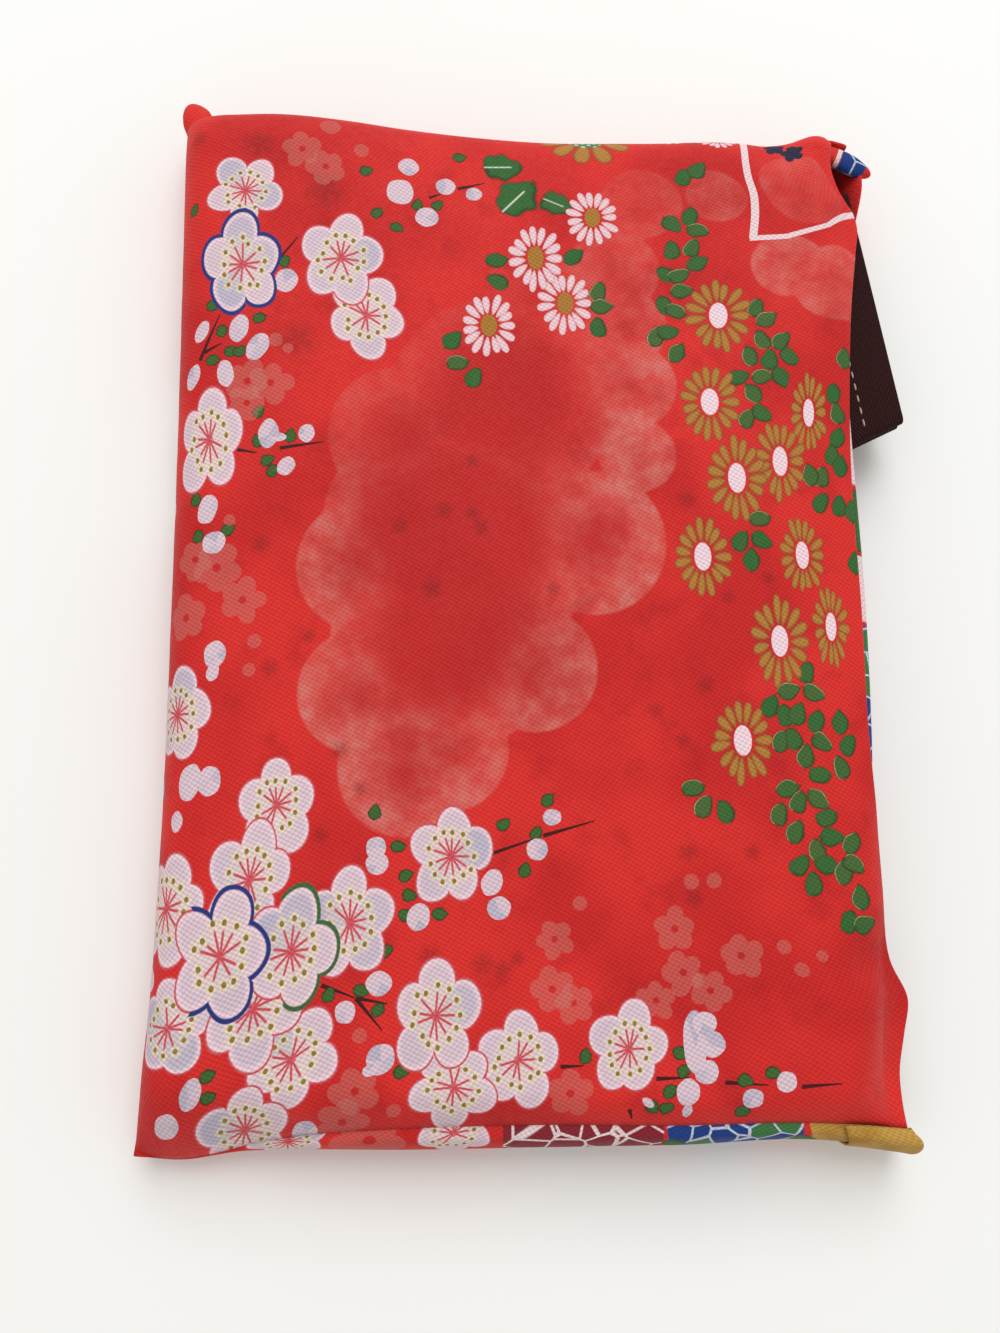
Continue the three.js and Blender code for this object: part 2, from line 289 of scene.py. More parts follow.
def plum_petals(tree, turn, reach, seed):
    fifth = 2 * math.pi / PETALS
    turns = add(tree, "Math", [turn, fifth], operation="DIVIDE")
    petal = add(tree, "Math", [turns], operation="ROUND")
    petal_code = add(tree, "Math", [petal, SEED_STRIDE, seed], operation="MULTIPLY_ADD")
    chance = add(tree, "TexWhiteNoise", {1: petal_code}, noise_dimensions="1D")
    tone = add(tree, "SeparateColor", [chance.node.outputs[1]], out=1)
    off = add(tree, "Math", [turns, petal], operation="SUBTRACT")
    lean = add(tree, "Math", [off, fifth], operation="MULTIPLY")
    along = add(tree, "Math", [reach, add(tree, "Math", [lean], operation="COSINE")], operation="MULTIPLY")
    across = add(tree, "Math", [reach, add(tree, "Math", [lean], operation="SINE")], operation="MULTIPLY")
    middle = add(tree, "Math", [chance, MIDDLE_SPREAD, PETAL_MIDDLE], operation="MULTIPLY_ADD")
    past = add(tree, "Math", [along, middle], operation="SUBTRACT")
    squeezed = add(tree, "Math", [past, PETAL_SQUEEZE], operation="MULTIPLY")
    from_petal = add(
        tree, "VectorMath", [add(tree, "CombineXYZ", [squeezed, across])], out=1, operation="LENGTH"
    )
    width = add(tree, "Math", [tone, HALF_SPREAD, PETAL_HALF], operation="MULTIPLY_ADD")
    petal_edge = add(tree, "Math", [from_petal, width], operation="SUBTRACT")
    heart_edge = add(tree, "Math", [reach, BLOSSOM_HEART], operation="SUBTRACT")
    petal_edge = add(tree, "Math", [petal_edge, heart_edge], operation="MINIMUM")
    return petal_edge, tone


print("plum blossom:", PETALS, "petals")

# %% [markdown]
# In its middle, red stamens end in olive dots, each on a cream glow. They stand at even turns, but each one
# is moved aside and drawn longer or shorter by chance, and a few are left out.

# %% Stamens of the plum blossom
STAMENS = 13
STAMEN_TIP, TIP_SPREAD = 0.44, 0.13
STAMEN_SWAY = 0.4
STAMEN_LEFT_OUT = 0.16


def plum_stamens(tree, skin, turn, reach, seed):
    share = 2 * math.pi / STAMENS
    spokes = add(tree, "Math", [turn, share], operation="DIVIDE")
    spoke = add(tree, "Math", [spokes], operation="ROUND")
    spoke_code = add(tree, "Math", [spoke, SEED_STRIDE, seed], operation="MULTIPLY_ADD")
    luck = add(tree, "TexWhiteNoise", {1: spoke_code}, noise_dimensions="1D")
    spoke_off = add(tree, "Math", [spokes, spoke], operation="SUBTRACT")
    jitter = add(tree, "Math", [luck, 0.5], operation="SUBTRACT")
    moved = add(tree, "Math", [jitter, STAMEN_SWAY, spoke_off], operation="MULTIPLY_ADD")
    spoke_lean = add(tree, "Math", [moved, share], operation="MULTIPLY")
    beside = add(
        tree, "Math", [reach, add(tree, "Math", [spoke_lean], operation="SINE")], operation="MULTIPLY"
    )
    outward = add(
        tree, "Math", [reach, add(tree, "Math", [spoke_lean], operation="COSINE")], operation="MULTIPLY"
    )
    tip = add(tree, "Math", [luck, TIP_SPREAD, STAMEN_TIP], operation="MULTIPLY_ADD")
    to_tip = add(tree, "Math", [outward, tip], operation="SUBTRACT")
    from_dot = add(
        tree, "VectorMath", [add(tree, "CombineXYZ", [to_tip, beside])], out=1, operation="LENGTH"
    )
    dot = add(tree, "MapRange", [from_dot, 0.062, 0.042], **EASED)
    glow = add(tree, "MapRange", [from_dot, 0.17, 0.06, 0.0, 0.65], **EASED)
    warm = add(tree, "MapRange", [reach, 0.66, 0.4, 0.0, 0.28], **EASED)
    thin = add(tree, "MapRange", [add(tree, "Math", [beside], operation="ABSOLUTE"), 0.036, 0.014], **EASED)
    short = add(tree, "MapRange", [to_tip, -0.09, -0.15], **EASED)
    chosen = add(tree, "Math", [luck, STAMEN_LEFT_OUT], operation="GREATER_THAN")
    stamen = add(
        tree, "Math", [add(tree, "Math", [thin, short], operation="MULTIPLY"), chosen], operation="MULTIPLY"
    )
    core = add(tree, "MapRange", [reach, 0.13, 0.06, 0.0, 0.85], **EASED)
    red_part = add(tree, "Math", [stamen, core], operation="MAXIMUM")
    cream = add(tree, "Math", [glow, warm], operation="MAXIMUM")
    face = add(tree, "Mix", {0: cream, 6: skin, 7: linear("#F4E6C0")}, **BLEND)
    face = add(tree, "Mix", {0: red_part, 6: face, 7: linear("#D5505A")}, **BLEND)
    return add(tree, "Mix", {0: dot, 6: face, 7: linear("#967C2E")}, **BLEND)


print("plum blossom:", STAMENS, "stamens")

# %% [markdown]
# A blossom has an outline. It is rose, and on some flowers blue or green, all the way round (2) or in part
# (3, 4). A coloured outline is bolder than a rose one.

# %% Outline of the plum blossom
PLAIN, BLUE_LINE, GREEN_PART, BLUE_PART, BUD, GHOST, SMUDGE, NAVY, MIST_DOT = range(1, 10)
LINE_WIDTH, COLOURED_EXTRA = 0.036, 0.042


def plum_outline(tree, is_kind, turn, edge, open_flower):
    facing = add(tree, "Math", [turn], operation="COSINE")
    blue_side = add(tree, "Math", [facing, -0.6], operation="GREATER_THAN")
    green_side = add(tree, "Math", [facing, -0.2], operation="GREATER_THAN")
    blue_line = add(
        tree, "Math", [is_kind(BLUE_PART), blue_side, is_kind(BLUE_LINE)], operation="MULTIPLY_ADD"
    )
    green_line = add(tree, "Math", [is_kind(GREEN_PART), green_side], operation="MULTIPLY")
    ink = add(tree, "Mix", {0: blue_line, 6: linear("#D2525A"), 7: linear("#27357E")}, **BLEND)
    ink = add(tree, "Mix", {0: green_line, 6: ink, 7: linear("#41693A")}, **BLEND)
    coloured = add(tree, "Math", [blue_line, green_line], operation="ADD")
    bold = add(tree, "Math", [coloured, COLOURED_EXTRA, LINE_WIDTH], operation="MULTIPLY_ADD")
    line = add(
        tree, "MapRange", [add(tree, "Math", [edge, bold], operation="SUBTRACT"), 0.012, -0.012], **EASED
    )
    return ink, add(tree, "Math", [line, open_flower], operation="MULTIPLY")


print("rose outline:", LINE_WIDTH, "of a flower's half width")

# %% [markdown]
# Some motifs are faint. A blossom or dot in the mist is a pale tint with a red eye, and a smudge is a soft
# dark star, as where dye has run. Both leave most of the ground to be seen.

# %% Mist and smudges
MIST_STRENGTH = 0.34


def plum_mist(tree, ghost, faint, shown, reach):
    strength = add(tree, "Math", [faint, MIST_STRENGTH], operation="MULTIPLY")
    mist = add(tree, "Math", [shown, strength], operation="MULTIPLY")
    eye = add(
        tree, "Math", [add(tree, "MapRange", [reach, 0.2, 0.13], **EASED), ghost], operation="MULTIPLY"
    )
    mist_tone = add(tree, "Mix", {0: eye, 6: linear("#CC8478"), 7: linear("#B4232A")}, **BLEND)
    return mist, mist_tone


def plum_stain(tree, smudge, turn, reach, seed):
    rays = add(
        tree, "Math", [add(tree, "Math", [turn, 5.0, seed], operation="MULTIPLY_ADD")], operation="COSINE"
    )
    starry = add(tree, "Math", [rays, 0.1, 0.36], operation="MULTIPLY_ADD")
    soft = add(tree, "MapRange", [reach, 0.95, 0.1], **EASED)
    return add(
        tree, "Math", [add(tree, "Math", [starry, soft], operation="MULTIPLY"), smudge],
        operation="MULTIPLY",
    )


print("a faint motif covers", MIST_STRENGTH, "of the ground")

# %% [markdown]
# The blossom's stamp puts them together. The same stamp draws a pear-shaped bud (5), a faint blossom as if
# seen through mist (6), a soft dark smudge (7), a small navy flower (8) and a faint dot (9), because every
# further stamp would make the cloth's material heavier.

# %% Plum blossom stamp
BUD_EDGE, BUD_SWELL = 0.84, 0.17


def plum_blossom_stamp():
    tree, below, x, y, kind, seed = start_stamp("plum_blossom_stamp")
    flat = add(tree, "CombineXYZ", [x, y])
    reach = add(tree, "VectorMath", [flat], out=1, operation="LENGTH")
    turn = add(tree, "Math", [y, x], operation="ARCTAN2")
    present = add(tree, "Math", [kind, 0.5], operation="GREATER_THAN")
    flower = add(tree, "Math", [kind, 4.5], operation="LESS_THAN")
    open_flower = add(tree, "Math", [flower, present], operation="MULTIPLY")

    def is_kind(variant):
        return add(tree, "Math", [kind, float(variant), 0.1], operation="COMPARE")

    petal_edge, tone = plum_petals(tree, turn, reach, seed)
    pear = add(tree, "Math", [add(tree, "Math", [turn, seed], operation="ADD")], operation="COSINE")
    swollen = add(tree, "Math", [pear, BUD_SWELL, 1.0], operation="MULTIPLY_ADD")
    bud_edge = add(
        tree, "Math", [add(tree, "Math", [reach, swollen], operation="MULTIPLY"), BUD_EDGE],
        operation="SUBTRACT",
    )
    wobble = drawn_by_hand(tree, x, y, seed, 4.4)
    round_one = add(tree, "Math", [is_kind(BUD), is_kind(MIST_DOT)], operation="ADD")
    edge = add(tree, "Mix", {0: round_one, 2: petal_edge, 3: bud_edge})
    edge = add(tree, "Math", [wobble, 0.035, edge], operation="MULTIPLY_ADD")
    inside = add(tree, "MapRange", [edge, 0.015, -0.02], **EASED)
    shown = add(tree, "Math", [inside, present], operation="MULTIPLY")

    rim = add(
        tree, "Math", [add(tree, "MapRange", [edge, -0.13, -0.02], **EASED), flower], operation="MULTIPLY"
    )
    cool = add(tree, "MapRange", [tone, 0.5, 1.0], **EASED)
    heart = add(tree, "Mix", {0: cool, 6: linear("#E2CBD4"), 7: linear("#C2BBCB")}, **BLEND)
    skin = add(tree, "Mix", {0: rim, 6: heart, 7: linear("#F3D8DE")}, **BLEND)
    skin = add(tree, "Mix", {0: is_kind(NAVY), 6: skin, 7: linear("#20233F")}, **BLEND)

    face = plum_stamens(tree, skin, turn, reach, seed)
    painted = add(tree, "Mix", {0: open_flower, 6: skin, 7: face}, **BLEND)

    ink, outlined = plum_outline(tree, is_kind, turn, edge, open_flower)
    ghost, smudge = is_kind(GHOST), is_kind(SMUDGE)
    faint = add(tree, "Math", [ghost, is_kind(MIST_DOT)], operation="ADD")
    misty = add(tree, "Math", [faint, smudge], operation="ADD")
    solid = add(
        tree, "Math", [shown, add(tree, "Math", [1.0, misty], operation="SUBTRACT")], operation="MULTIPLY"
    )
    mist, mist_tone = plum_mist(tree, ghost, faint, shown, reach)
    stain = plum_stain(tree, smudge, turn, reach, seed)

    result = add(tree, "Mix", {0: outlined, 6: below, 7: ink}, **BLEND)
    result = add(tree, "Mix", {0: solid, 6: result, 7: painted}, **BLEND)
    result = add(tree, "Mix", {0: mist, 6: result, 7: mist_tone}, **BLEND)
    result = add(tree, "Mix", {0: stain, 6: result, 7: linear("#6E1A1B")}, **BLEND)
    add(tree, "NodeGroupOutput", [result])
    return tree


plum_stamp = plum_blossom_stamp()
print("plum blossom stamp:", len(plum_stamp.nodes), "nodes")

# %% [markdown]
# A daisy is a ring of narrow petals that widen outwards. They are folded into one, as the plum's are, and
# an odd number of petals lets the fold close where the turn starts again.

# %% Petals of the daisy
DAISY_PETALS, LARGE_PETALS = 15, 11
DAISY_PETAL_WIDTH, LARGE_PETAL_WIDTH = 0.265, 0.35
PETAL_START, SHORTEST_PETAL = 0.34, 0.83
PETAL_SWAY = 0.26


def daisy_petals(tree, turn, reach, seed, large):
    share = add(tree, "Mix", {0: large, 2: 2 * math.pi / DAISY_PETALS, 3: 2 * math.pi / LARGE_PETALS})
    turns = add(tree, "Math", [turn, share], operation="DIVIDE")
    petal = add(tree, "Math", [turns], operation="ROUND")
    petal_code = add(tree, "Math", [petal, SEED_STRIDE, seed], operation="MULTIPLY_ADD")
    chance = add(tree, "TexWhiteNoise", {1: petal_code}, noise_dimensions="1D")
    off = add(tree, "Math", [turns, petal], operation="SUBTRACT")
    jitter = add(tree, "Math", [chance, 0.5], operation="SUBTRACT")
    sway = add(tree, "Math", [jitter, PETAL_SWAY, off], operation="MULTIPLY_ADD")
    lean = add(tree, "Math", [sway, share], operation="MULTIPLY")
    along = add(tree, "Math", [reach, add(tree, "Math", [lean], operation="COSINE")], operation="MULTIPLY")
    across = add(tree, "Math", [reach, add(tree, "Math", [lean], operation="SINE")], operation="MULTIPLY")
    tip = add(tree, "Math", [chance, 1 - SHORTEST_PETAL, SHORTEST_PETAL], operation="MULTIPLY_ADD")
    into = add(tree, "MapRange", [along, PETAL_START, tip], clamp=False)
    opening = add(tree, "Math", [into, 0.75], operation="POWER")
    closing = add(
        tree, "Math", [add(tree, "Math", [1.0, into], operation="SUBTRACT"), 0.42], operation="POWER"
    )
    broad = add(tree, "Mix", {0: large, 2: DAISY_PETAL_WIDTH, 3: LARGE_PETAL_WIDTH})
    swell = add(
        tree, "Math", [add(tree, "Math", [opening, closing], operation="MULTIPLY"), broad],
        operation="MULTIPLY",
    )
    edge = add(
        tree, "Math", [add(tree, "Math", [across], operation="ABSOLUTE"), swell], operation="SUBTRACT"
    )
    edge = add(
        tree, "Math", [edge, add(tree, "Math", [along, tip], operation="SUBTRACT")], operation="MAXIMUM"
    )
    return add(
        tree, "Math", [edge, add(tree, "Math", [PETAL_START, along], operation="SUBTRACT")],
        operation="MAXIMUM",
    )


print("daisy:", DAISY_PETALS, "petals, the large one:", LARGE_PETALS)

# %% [markdown]
# The petals stand round an oval middle. There are three kinds: pale petals round a gold middle (1), gold
# petals round a pale middle (2), and a large gold chrysanthemum with a green, pricked middle (3).

# %% Daisy stamp
PALE_DAISY, GOLD_DAISY, LARGE_DAISY = range(1, 4)
DAISY_MIDDLE, LARGE_MIDDLE = 0.27, 0.36


def daisy_flower_stamp():
    tree, below, x, y, kind, seed = start_stamp("daisy_stamp")
    flat = add(tree, "CombineXYZ", [x, y])
    reach = add(tree, "VectorMath", [flat], out=1, operation="LENGTH")
    turn = add(tree, "Math", [y, x], operation="ARCTAN2")
    present = add(tree, "Math", [kind, 0.5], operation="GREATER_THAN")
    gold = add(tree, "Math", [kind, 1.5], operation="GREATER_THAN")
    large = add(tree, "Math", [kind, 2.5], operation="GREATER_THAN")

    edge = daisy_petals(tree, turn, reach, seed, large)
    inside = add(tree, "MapRange", [edge, 0.012, -0.018], **EASED)
    halo = add(tree, "MapRange", [edge, 0.05, 0.0, 0.0, 0.4], **EASED)
    halo = add(tree, "Math", [halo, present], operation="MULTIPLY")
    shown = add(tree, "Math", [inside, present], operation="MULTIPLY")

    near_edge = add(tree, "MapRange", [edge, -0.07, 0.0], **EASED)
    ripe = add(tree, "Mix", {0: near_edge, 6: linear("#B78238"), 7: linear("#985F28")}, **BLEND)
    rosy = add(tree, "Mix", {0: near_edge, 6: linear("#F2D3D8"), 7: linear("#EBB8BC")}, **BLEND)
    skin = add(tree, "Mix", {0: gold, 6: rosy, 7: ripe}, **BLEND)
    shade = add(tree, "Mix", {0: gold, 6: linear("#C23A3A"), 7: linear("#98382A")}, **BLEND)

    size = add(tree, "Mix", {0: large, 2: DAISY_MIDDLE, 3: LARGE_MIDDLE})
    oval = add(tree, "VectorMath", [flat, (1.0, 0.82, 1.0)], operation="MULTIPLY")
    from_middle = add(tree, "VectorMath", [oval], out=1, operation="LENGTH")
    from_middle = add(tree, "Math", [from_middle, size], operation="SUBTRACT")
    button = add(tree, "MapRange", [from_middle, 0.012, -0.02], **EASED)
    button = add(tree, "Math", [button, present], operation="MULTIPLY")
    pale_middle = add(tree, "Mix", {0: gold, 6: linear("#AF7C30"), 7: linear("#F6DDE3")}, **BLEND)
    pricked = add(tree, "MapRange", [drawn_by_hand(tree, x, y, seed, 27.0), 0.3, 0.6], **EASED)
    green = add(tree, "Mix", {0: pricked, 6: linear("#3F8154"), 7: linear("#DCE3C8")}, **BLEND)
    middle = add(tree, "Mix", {0: large, 6: pale_middle, 7: green}, **BLEND)

    result = add(tree, "Mix", {0: halo, 6: below, 7: shade}, **BLEND)
    result = add(tree, "Mix", {0: shown, 6: result, 7: skin}, **BLEND)
    result = add(tree, "Mix", {0: button, 6: result, 7: middle}, **BLEND)
    add(tree, "NodeGroupOutput", [result])
    return tree


daisy_stamp = daisy_flower_stamp()
print("daisy stamp:", len(daisy_stamp.nodes), "nodes")

# %% [markdown]
# Leaves are short drops, round at one end. A picture of one leaf would look the same every time, so the
# outline is worked out: two curves that meet at the ends, lobed on large leaves, with a wave that differs
# from leaf to leaf. Twigs and rules are straight strokes, and twigs taper.

# %% Outline of a leaf
LOBE_PACE, LOBE_DEPTH = 7.0, 0.1
LEAF_WAVE = 0.1
TWIG_HALF, TWIG_TAPER = 0.62, 0.35


def leaf_outline(tree, x, y, seed, large, twig, rule):
    base = add(tree, "Math", [add(tree, "Math", [x, 1.0], operation="ADD"), 0.5], operation="POWER")
    point = add(tree, "Math", [add(tree, "Math", [1.0, x], operation="SUBTRACT"), 0.7], operation="POWER")
    arch = add(tree, "Math", [base, point], operation="MULTIPLY")
    lobes = add(
        tree, "Math", [add(tree, "Math", [x, LOBE_PACE, 1.0], operation="MULTIPLY_ADD")], operation="SINE"
    )
    lobes = add(tree, "Math", [lobes, large], operation="MULTIPLY")
    lobed = add(tree, "Math", [lobes, LOBE_DEPTH, 1 - LOBE_DEPTH], operation="MULTIPLY_ADD")
    half = add(tree, "Math", [arch, lobed], operation="MULTIPLY")
    beside = add(tree, "Math", [y], operation="ABSOLUTE")
    leaf_edge = add(tree, "Math", [beside, half], operation="SUBTRACT")
    past_end = add(tree, "Math", [add(tree, "Math", [x], operation="ABSOLUTE"), 0.98], operation="SUBTRACT")
    leaf_edge = add(tree, "Math", [leaf_edge, past_end], operation="MAXIMUM")
    wobble = drawn_by_hand(tree, x, y, seed, 3.2)
    leaf_edge = add(tree, "Math", [wobble, LEAF_WAVE, leaf_edge], operation="MULTIPLY_ADD")
    thin = add(tree, "Math", [x, -TWIG_TAPER, TWIG_HALF], operation="MULTIPLY_ADD")
    twig_edge = add(tree, "Math", [beside, thin], operation="SUBTRACT")
    rule_edge = add(tree, "Math", [beside, 0.96], operation="SUBTRACT")
    long_edge = add(tree, "Mix", {0: rule, 2: twig_edge, 3: rule_edge})
    stroke_edge = add(tree, "Math", [long_edge, past_end], operation="MAXIMUM")
    long_one = add(tree, "Math", [twig, rule], operation="ADD")
    edge = add(tree, "Mix", {0: long_one, 2: leaf_edge, 3: stroke_edge})
    return edge, beside, long_one


print("lobes of a large leaf:", LOBE_DEPTH, "of its half width deep")

# %% [markdown]
# A leaf (1) has a darker edge on its shaded side and, on some, a cream line on the lit side. Large leaves
# have a pale rib (2). The same stamp draws what is long and thin: dark twigs (3) and a pale printed rule
# (4). Bud scales are small dark leaves (5).

# %% Leaf stamp
LEAF, LARGE_LEAF, TWIG, RULE, BUD_SCALE = range(1, 6)


def leaf_sprig_stamp():
    tree, below, x, y, kind, seed = start_stamp("leaf_stamp")
    present = add(tree, "Math", [kind, 0.5], operation="GREATER_THAN")
    large, twig, rule = (
        add(tree, "Math", [kind, float(variant), 0.1], operation="COMPARE")
        for variant in (LARGE_LEAF, TWIG, RULE)
    )
    chance = add(tree, "TexWhiteNoise", {1: seed}, noise_dimensions="1D")
    edge, beside, long_one = leaf_outline(tree, x, y, seed, large, twig, rule)
    inside = add(tree, "MapRange", [edge, 0.03, -0.04], **EASED)
    shown = add(tree, "Math", [inside, present], operation="MULTIPLY")

    fresh = add(tree, "Mix", {0: chance, 6: linear("#2F6B31"), 7: linear("#4E6C34")}, **BLEND)
    near_edge = add(tree, "MapRange", [edge, -0.3, -0.02], **EASED)
    shaded = add(tree, "MapRange", [y, 0.45, -0.35, 0.25, 1.0], **EASED)
    dark_edge = add(tree, "Math", [near_edge, shaded], operation="MULTIPLY")
    leaf = add(tree, "Mix", {0: dark_edge, 6: fresh, 7: linear("#27491F")}, **BLEND)
    lit = add(tree, "MapRange", [edge, -0.14, -0.06], **EASED)
    lucky = add(tree, "Math", [chance, 0.45], operation="GREATER_THAN")
    lit_side = add(
        tree, "Math", [add(tree, "MapRange", [y, 0.2, 0.4], **EASED), lucky], operation="MULTIPLY"
    )
    cream = add(
        tree, "Math", [add(tree, "Math", [lit, lit_side], operation="MULTIPLY"), 0.6], operation="MULTIPLY"
    )
    leaf = add(tree, "Mix", {0: cream, 6: leaf, 7: linear("#C9BA86")}, **BLEND)
    rib = add(tree, "MapRange", [beside, 0.075, 0.03], **EASED)
    rib_end = add(tree, "MapRange", [x, 0.5, 0.35], **EASED)
    ribbed = add(
        tree, "Math", [add(tree, "Math", [rib, rib_end], operation="MULTIPLY"), large], operation="MULTIPLY"
    )
    leaf = add(tree, "Mix", {0: ribbed, 6: leaf, 7: linear("#C4D6BB")}, **BLEND)
    bud_green = add(tree, "Mix", {0: near_edge, 6: linear("#3F6A2E"), 7: linear("#293D1E")}, **BLEND)
    scale = add(tree, "Math", [kind, float(BUD_SCALE), 0.1], operation="COMPARE")
    skin = add(tree, "Mix", {0: scale, 6: leaf, 7: bud_green}, **BLEND)
    skin = add(tree, "Mix", {0: twig, 6: skin, 7: linear("#471318")}, **BLEND)
    skin = add(tree, "Mix", {0: rule, 6: skin, 7: linear("#F3DADB")}, **BLEND)

    halo = add(tree, "MapRange", [edge, 0.17, 0.0, 0.0, 0.6], **EASED)
    leafy = add(
        tree, "Math", [present, add(tree, "Math", [1.0, long_one], operation="SUBTRACT")],
        operation="MULTIPLY",
    )
    halo = add(tree, "Math", [halo, leafy], operation="MULTIPLY")
    result = add(tree, "Mix", {0: halo, 6: below, 7: linear("#57201A")}, **BLEND)
    result = add(tree, "Mix", {0: shown, 6: result, 7: skin}, **BLEND)
    add(tree, "NodeGroupOutput", [result])
    return tree


leaf_stamp = leaf_sprig_stamp()
print("leaf stamp:", len(leaf_stamp.nodes), "nodes")

# %% [markdown]
# The stamps need their places. A motif is a line in a list: which stamp, where on the flat cloth, how long
# and wide, how far turned, and which variant. Flowers on thin planes of their own would lift off at the
# folds, so they are part of the cloth: for each face the topmost few motifs are kept, and each corner of the
# face stores where it lies as seen from the motif's middle. A cloud is a few discs that overlap, and each
# point of the cloth stores how deep it lies in them.

# %% Place the motifs on a cloth
CROWDED = {"plum": 5, "daisy": 2, "leaf": 5}
SPARSE = {"plum": 3, "daisy": 1, "leaf": 1}
STAMP_REACH = 1.12
STAMP_MARGIN = 0.6
FIRST_SEED, SEED_JUMP, SEED_COUNT = 8, 7, 48


def print_on(piece, motifs, stamp_layers=SPARSE):
    mesh = piece.data
    flat = np.empty(len(mesh.vertices) * 3)
    mesh.attributes["cloth_mm"].data.foreach_get("vector", flat)
    corner_of = np.empty(len(mesh.loops), int)
    mesh.loops.foreach_get("vertex_index", corner_of)
    corners = flat.reshape(-1, 3)[corner_of, :2].reshape(-1, 4, 2)
    middles = corners.mean(axis=1)
    for stamp, layers in stamp_layers.items():
        places = np.zeros((layers, len(corners), 4, 3))
        used = np.zeros(len(corners), int)
        for number, (which, x, y, length, width, turn, variant) in reversed(list(enumerate(motifs))):
            if which != stamp:
                continue
            seed = FIRST_SEED + number * SEED_JUMP % SEED_COUNT
            heading = math.radians(turn)
            turned = np.array(
                [[math.cos(heading), -math.sin(heading)], [math.sin(heading), math.cos(heading)]]
            )
            half = np.array([length, width]) / 2
            inner = np.abs((middles - (x, y)) @ turned) < half * STAMP_REACH + STAMP_MARGIN
            for layer in range(layers):
                faces = np.nonzero(inner.all(axis=1) & (used == layer))[0]
                places[layer, faces, :, :2] = (corners[faces] - (x, y)) @ turned / half
                places[layer, faces, :, 2] = variant + seed / SEED_STEPS
            used += inner.all(axis=1)
        for layer in range(layers):
            store = mesh.attributes.new(f"{stamp}_{layer}", "FLOAT_VECTOR", "CORNER")
            store.data.foreach_set("vector", places[layer].ravel())
    print(piece.name, "carries", len(motifs), "motifs")


FAR_OUTSIDE = -50.0
CLOUD_BLEND = 2.5


def cloud_on(piece, discs):
    mesh = piece.data
    flat = np.empty(len(mesh.vertices) * 3)
    mesh.attributes["cloth_mm"].data.foreach_get("vector", flat)
    u, v, _ = flat.reshape(-1, 3).T
    depth = np.full(len(u), FAR_OUTSIDE)
    weight, strength = np.full(len(u), 1e-9), np.zeros(len(u))
    for x, y, radius, pale in discs:
        inside = radius - np.hypot(u - x, v - y)
        depth = np.maximum(depth, inside)
        near = np.exp(np.maximum(inside, FAR_OUTSIDE) / CLOUD_BLEND)
        weight, strength = weight + near, strength + near * pale
    mesh.attributes.new("cloud_mm", "FLOAT", "POINT").data.foreach_set("value", depth)
    mesh.attributes.new("cloud_pale", "FLOAT", "POINT").data.foreach_set("value", strength / weight)


print("layers of motifs on the front:", CROWDED, "and elsewhere:", SPARSE)

# %% [markdown]
# The ground of the print is a clouded red, as dye takes unevenly. One plain red would look like plastic, so
# broad shades and finer mottles, each with its size in millimetres, darken it here and there.

# %% Red ground of the print
BROAD_SHADES, MOTTLES = 26.0, 8.0


def red_ground(tree, flat):
    broad = add(tree, "TexNoise", {0: flat, 2: 1 / BROAD_SHADES, 3: 2.0})
    mottle = add(tree, "TexNoise", {0: flat, 2: 1 / MOTTLES, 3: 4.0, 4: 0.6})
    deep = add(tree, "MapRange", [broad, 0.38, 0.64], **EASED)
    ground = add(tree, "Mix", {0: deep, 6: linear("#E22F29"), 7: linear("#CD2321")}, **BLEND)
    dark = add(tree, "MapRange", [mottle, 0.5, 0.72, 0.0, 0.5], **EASED)
    ground = add(tree, "Mix", {0: dark, 6: ground, 7: linear("#B41B1D")}, **BLEND)
    return ground, mottle


print("the red is shaded every", BROAD_SHADES, "mm and mottled every", MOTTLES, "mm")

# %% [markdown]
# On the back and on the tote, the print has patches of net, blue waves and gold. Cells round scattered
# points give net and waves without drawing them line by line. Where a patch lies is an attribute of the
# cloth: the depth inside its oval, in millimetres.

# %% Patches of net, blue and gold
NET_MESH, WAVE_SIZE = 4.6, 4.4
GREEN_WAVES = 0.88


def patched(tree, flat, mottle, ground):
    net = add(tree, "TexVoronoi", {0: flat, 2: 1 / NET_MESH}, feature="DISTANCE_TO_EDGE")
    mesh_line = add(tree, "MapRange", [net, 0.055, 0.03], **EASED)
    knot = add(tree, "Mix", {0: mesh_line, 6: linear("#8C2430"), 7: linear("#F1DEDA")}, **BLEND)
    fans = add(tree, "TexVoronoi", {0: flat, 2: 1 / WAVE_SIZE})
    fan_edge = add(tree, "TexVoronoi", {0: flat, 2: 1 / WAVE_SIZE}, feature="DISTANCE_TO_EDGE")
    crest = add(tree, "MapRange", [fan_edge, 0.05, 0.025], **EASED)
    leafy = add(tree, "SeparateColor", [fans.node.outputs[1]])
    leafy = add(tree, "Math", [leafy, GREEN_WAVES], operation="GREATER_THAN")
    sea = add(tree, "Mix", {0: leafy, 6: linear("#1B3F88"), 7: linear("#3E7A45")}, **BLEND)
    sea = add(tree, "Mix", {0: crest, 6: sea, 7: linear("#CDD5E4")}, **BLEND)
    grain = add(tree, "MapRange", [mottle, 0.4, 0.65], **EASED)
    gilt = add(tree, "Mix", {0: grain, 6: linear("#C9A04A"), 7: linear("#B08232")}, **BLEND)
    for place, paint in (("net_mm", knot), ("sea_mm", sea), ("gilt_mm", gilt)):
        within = add(tree, "Attribute", out=2, attribute_name=place)
        shown = add(tree, "MapRange", [within, -0.15, 0.15], **EASED)
        ground = add(tree, "Mix", {0: shown, 6: ground, 7: paint}, **BLEND)
    return ground


print("the net has meshes of", NET_MESH, "mm")

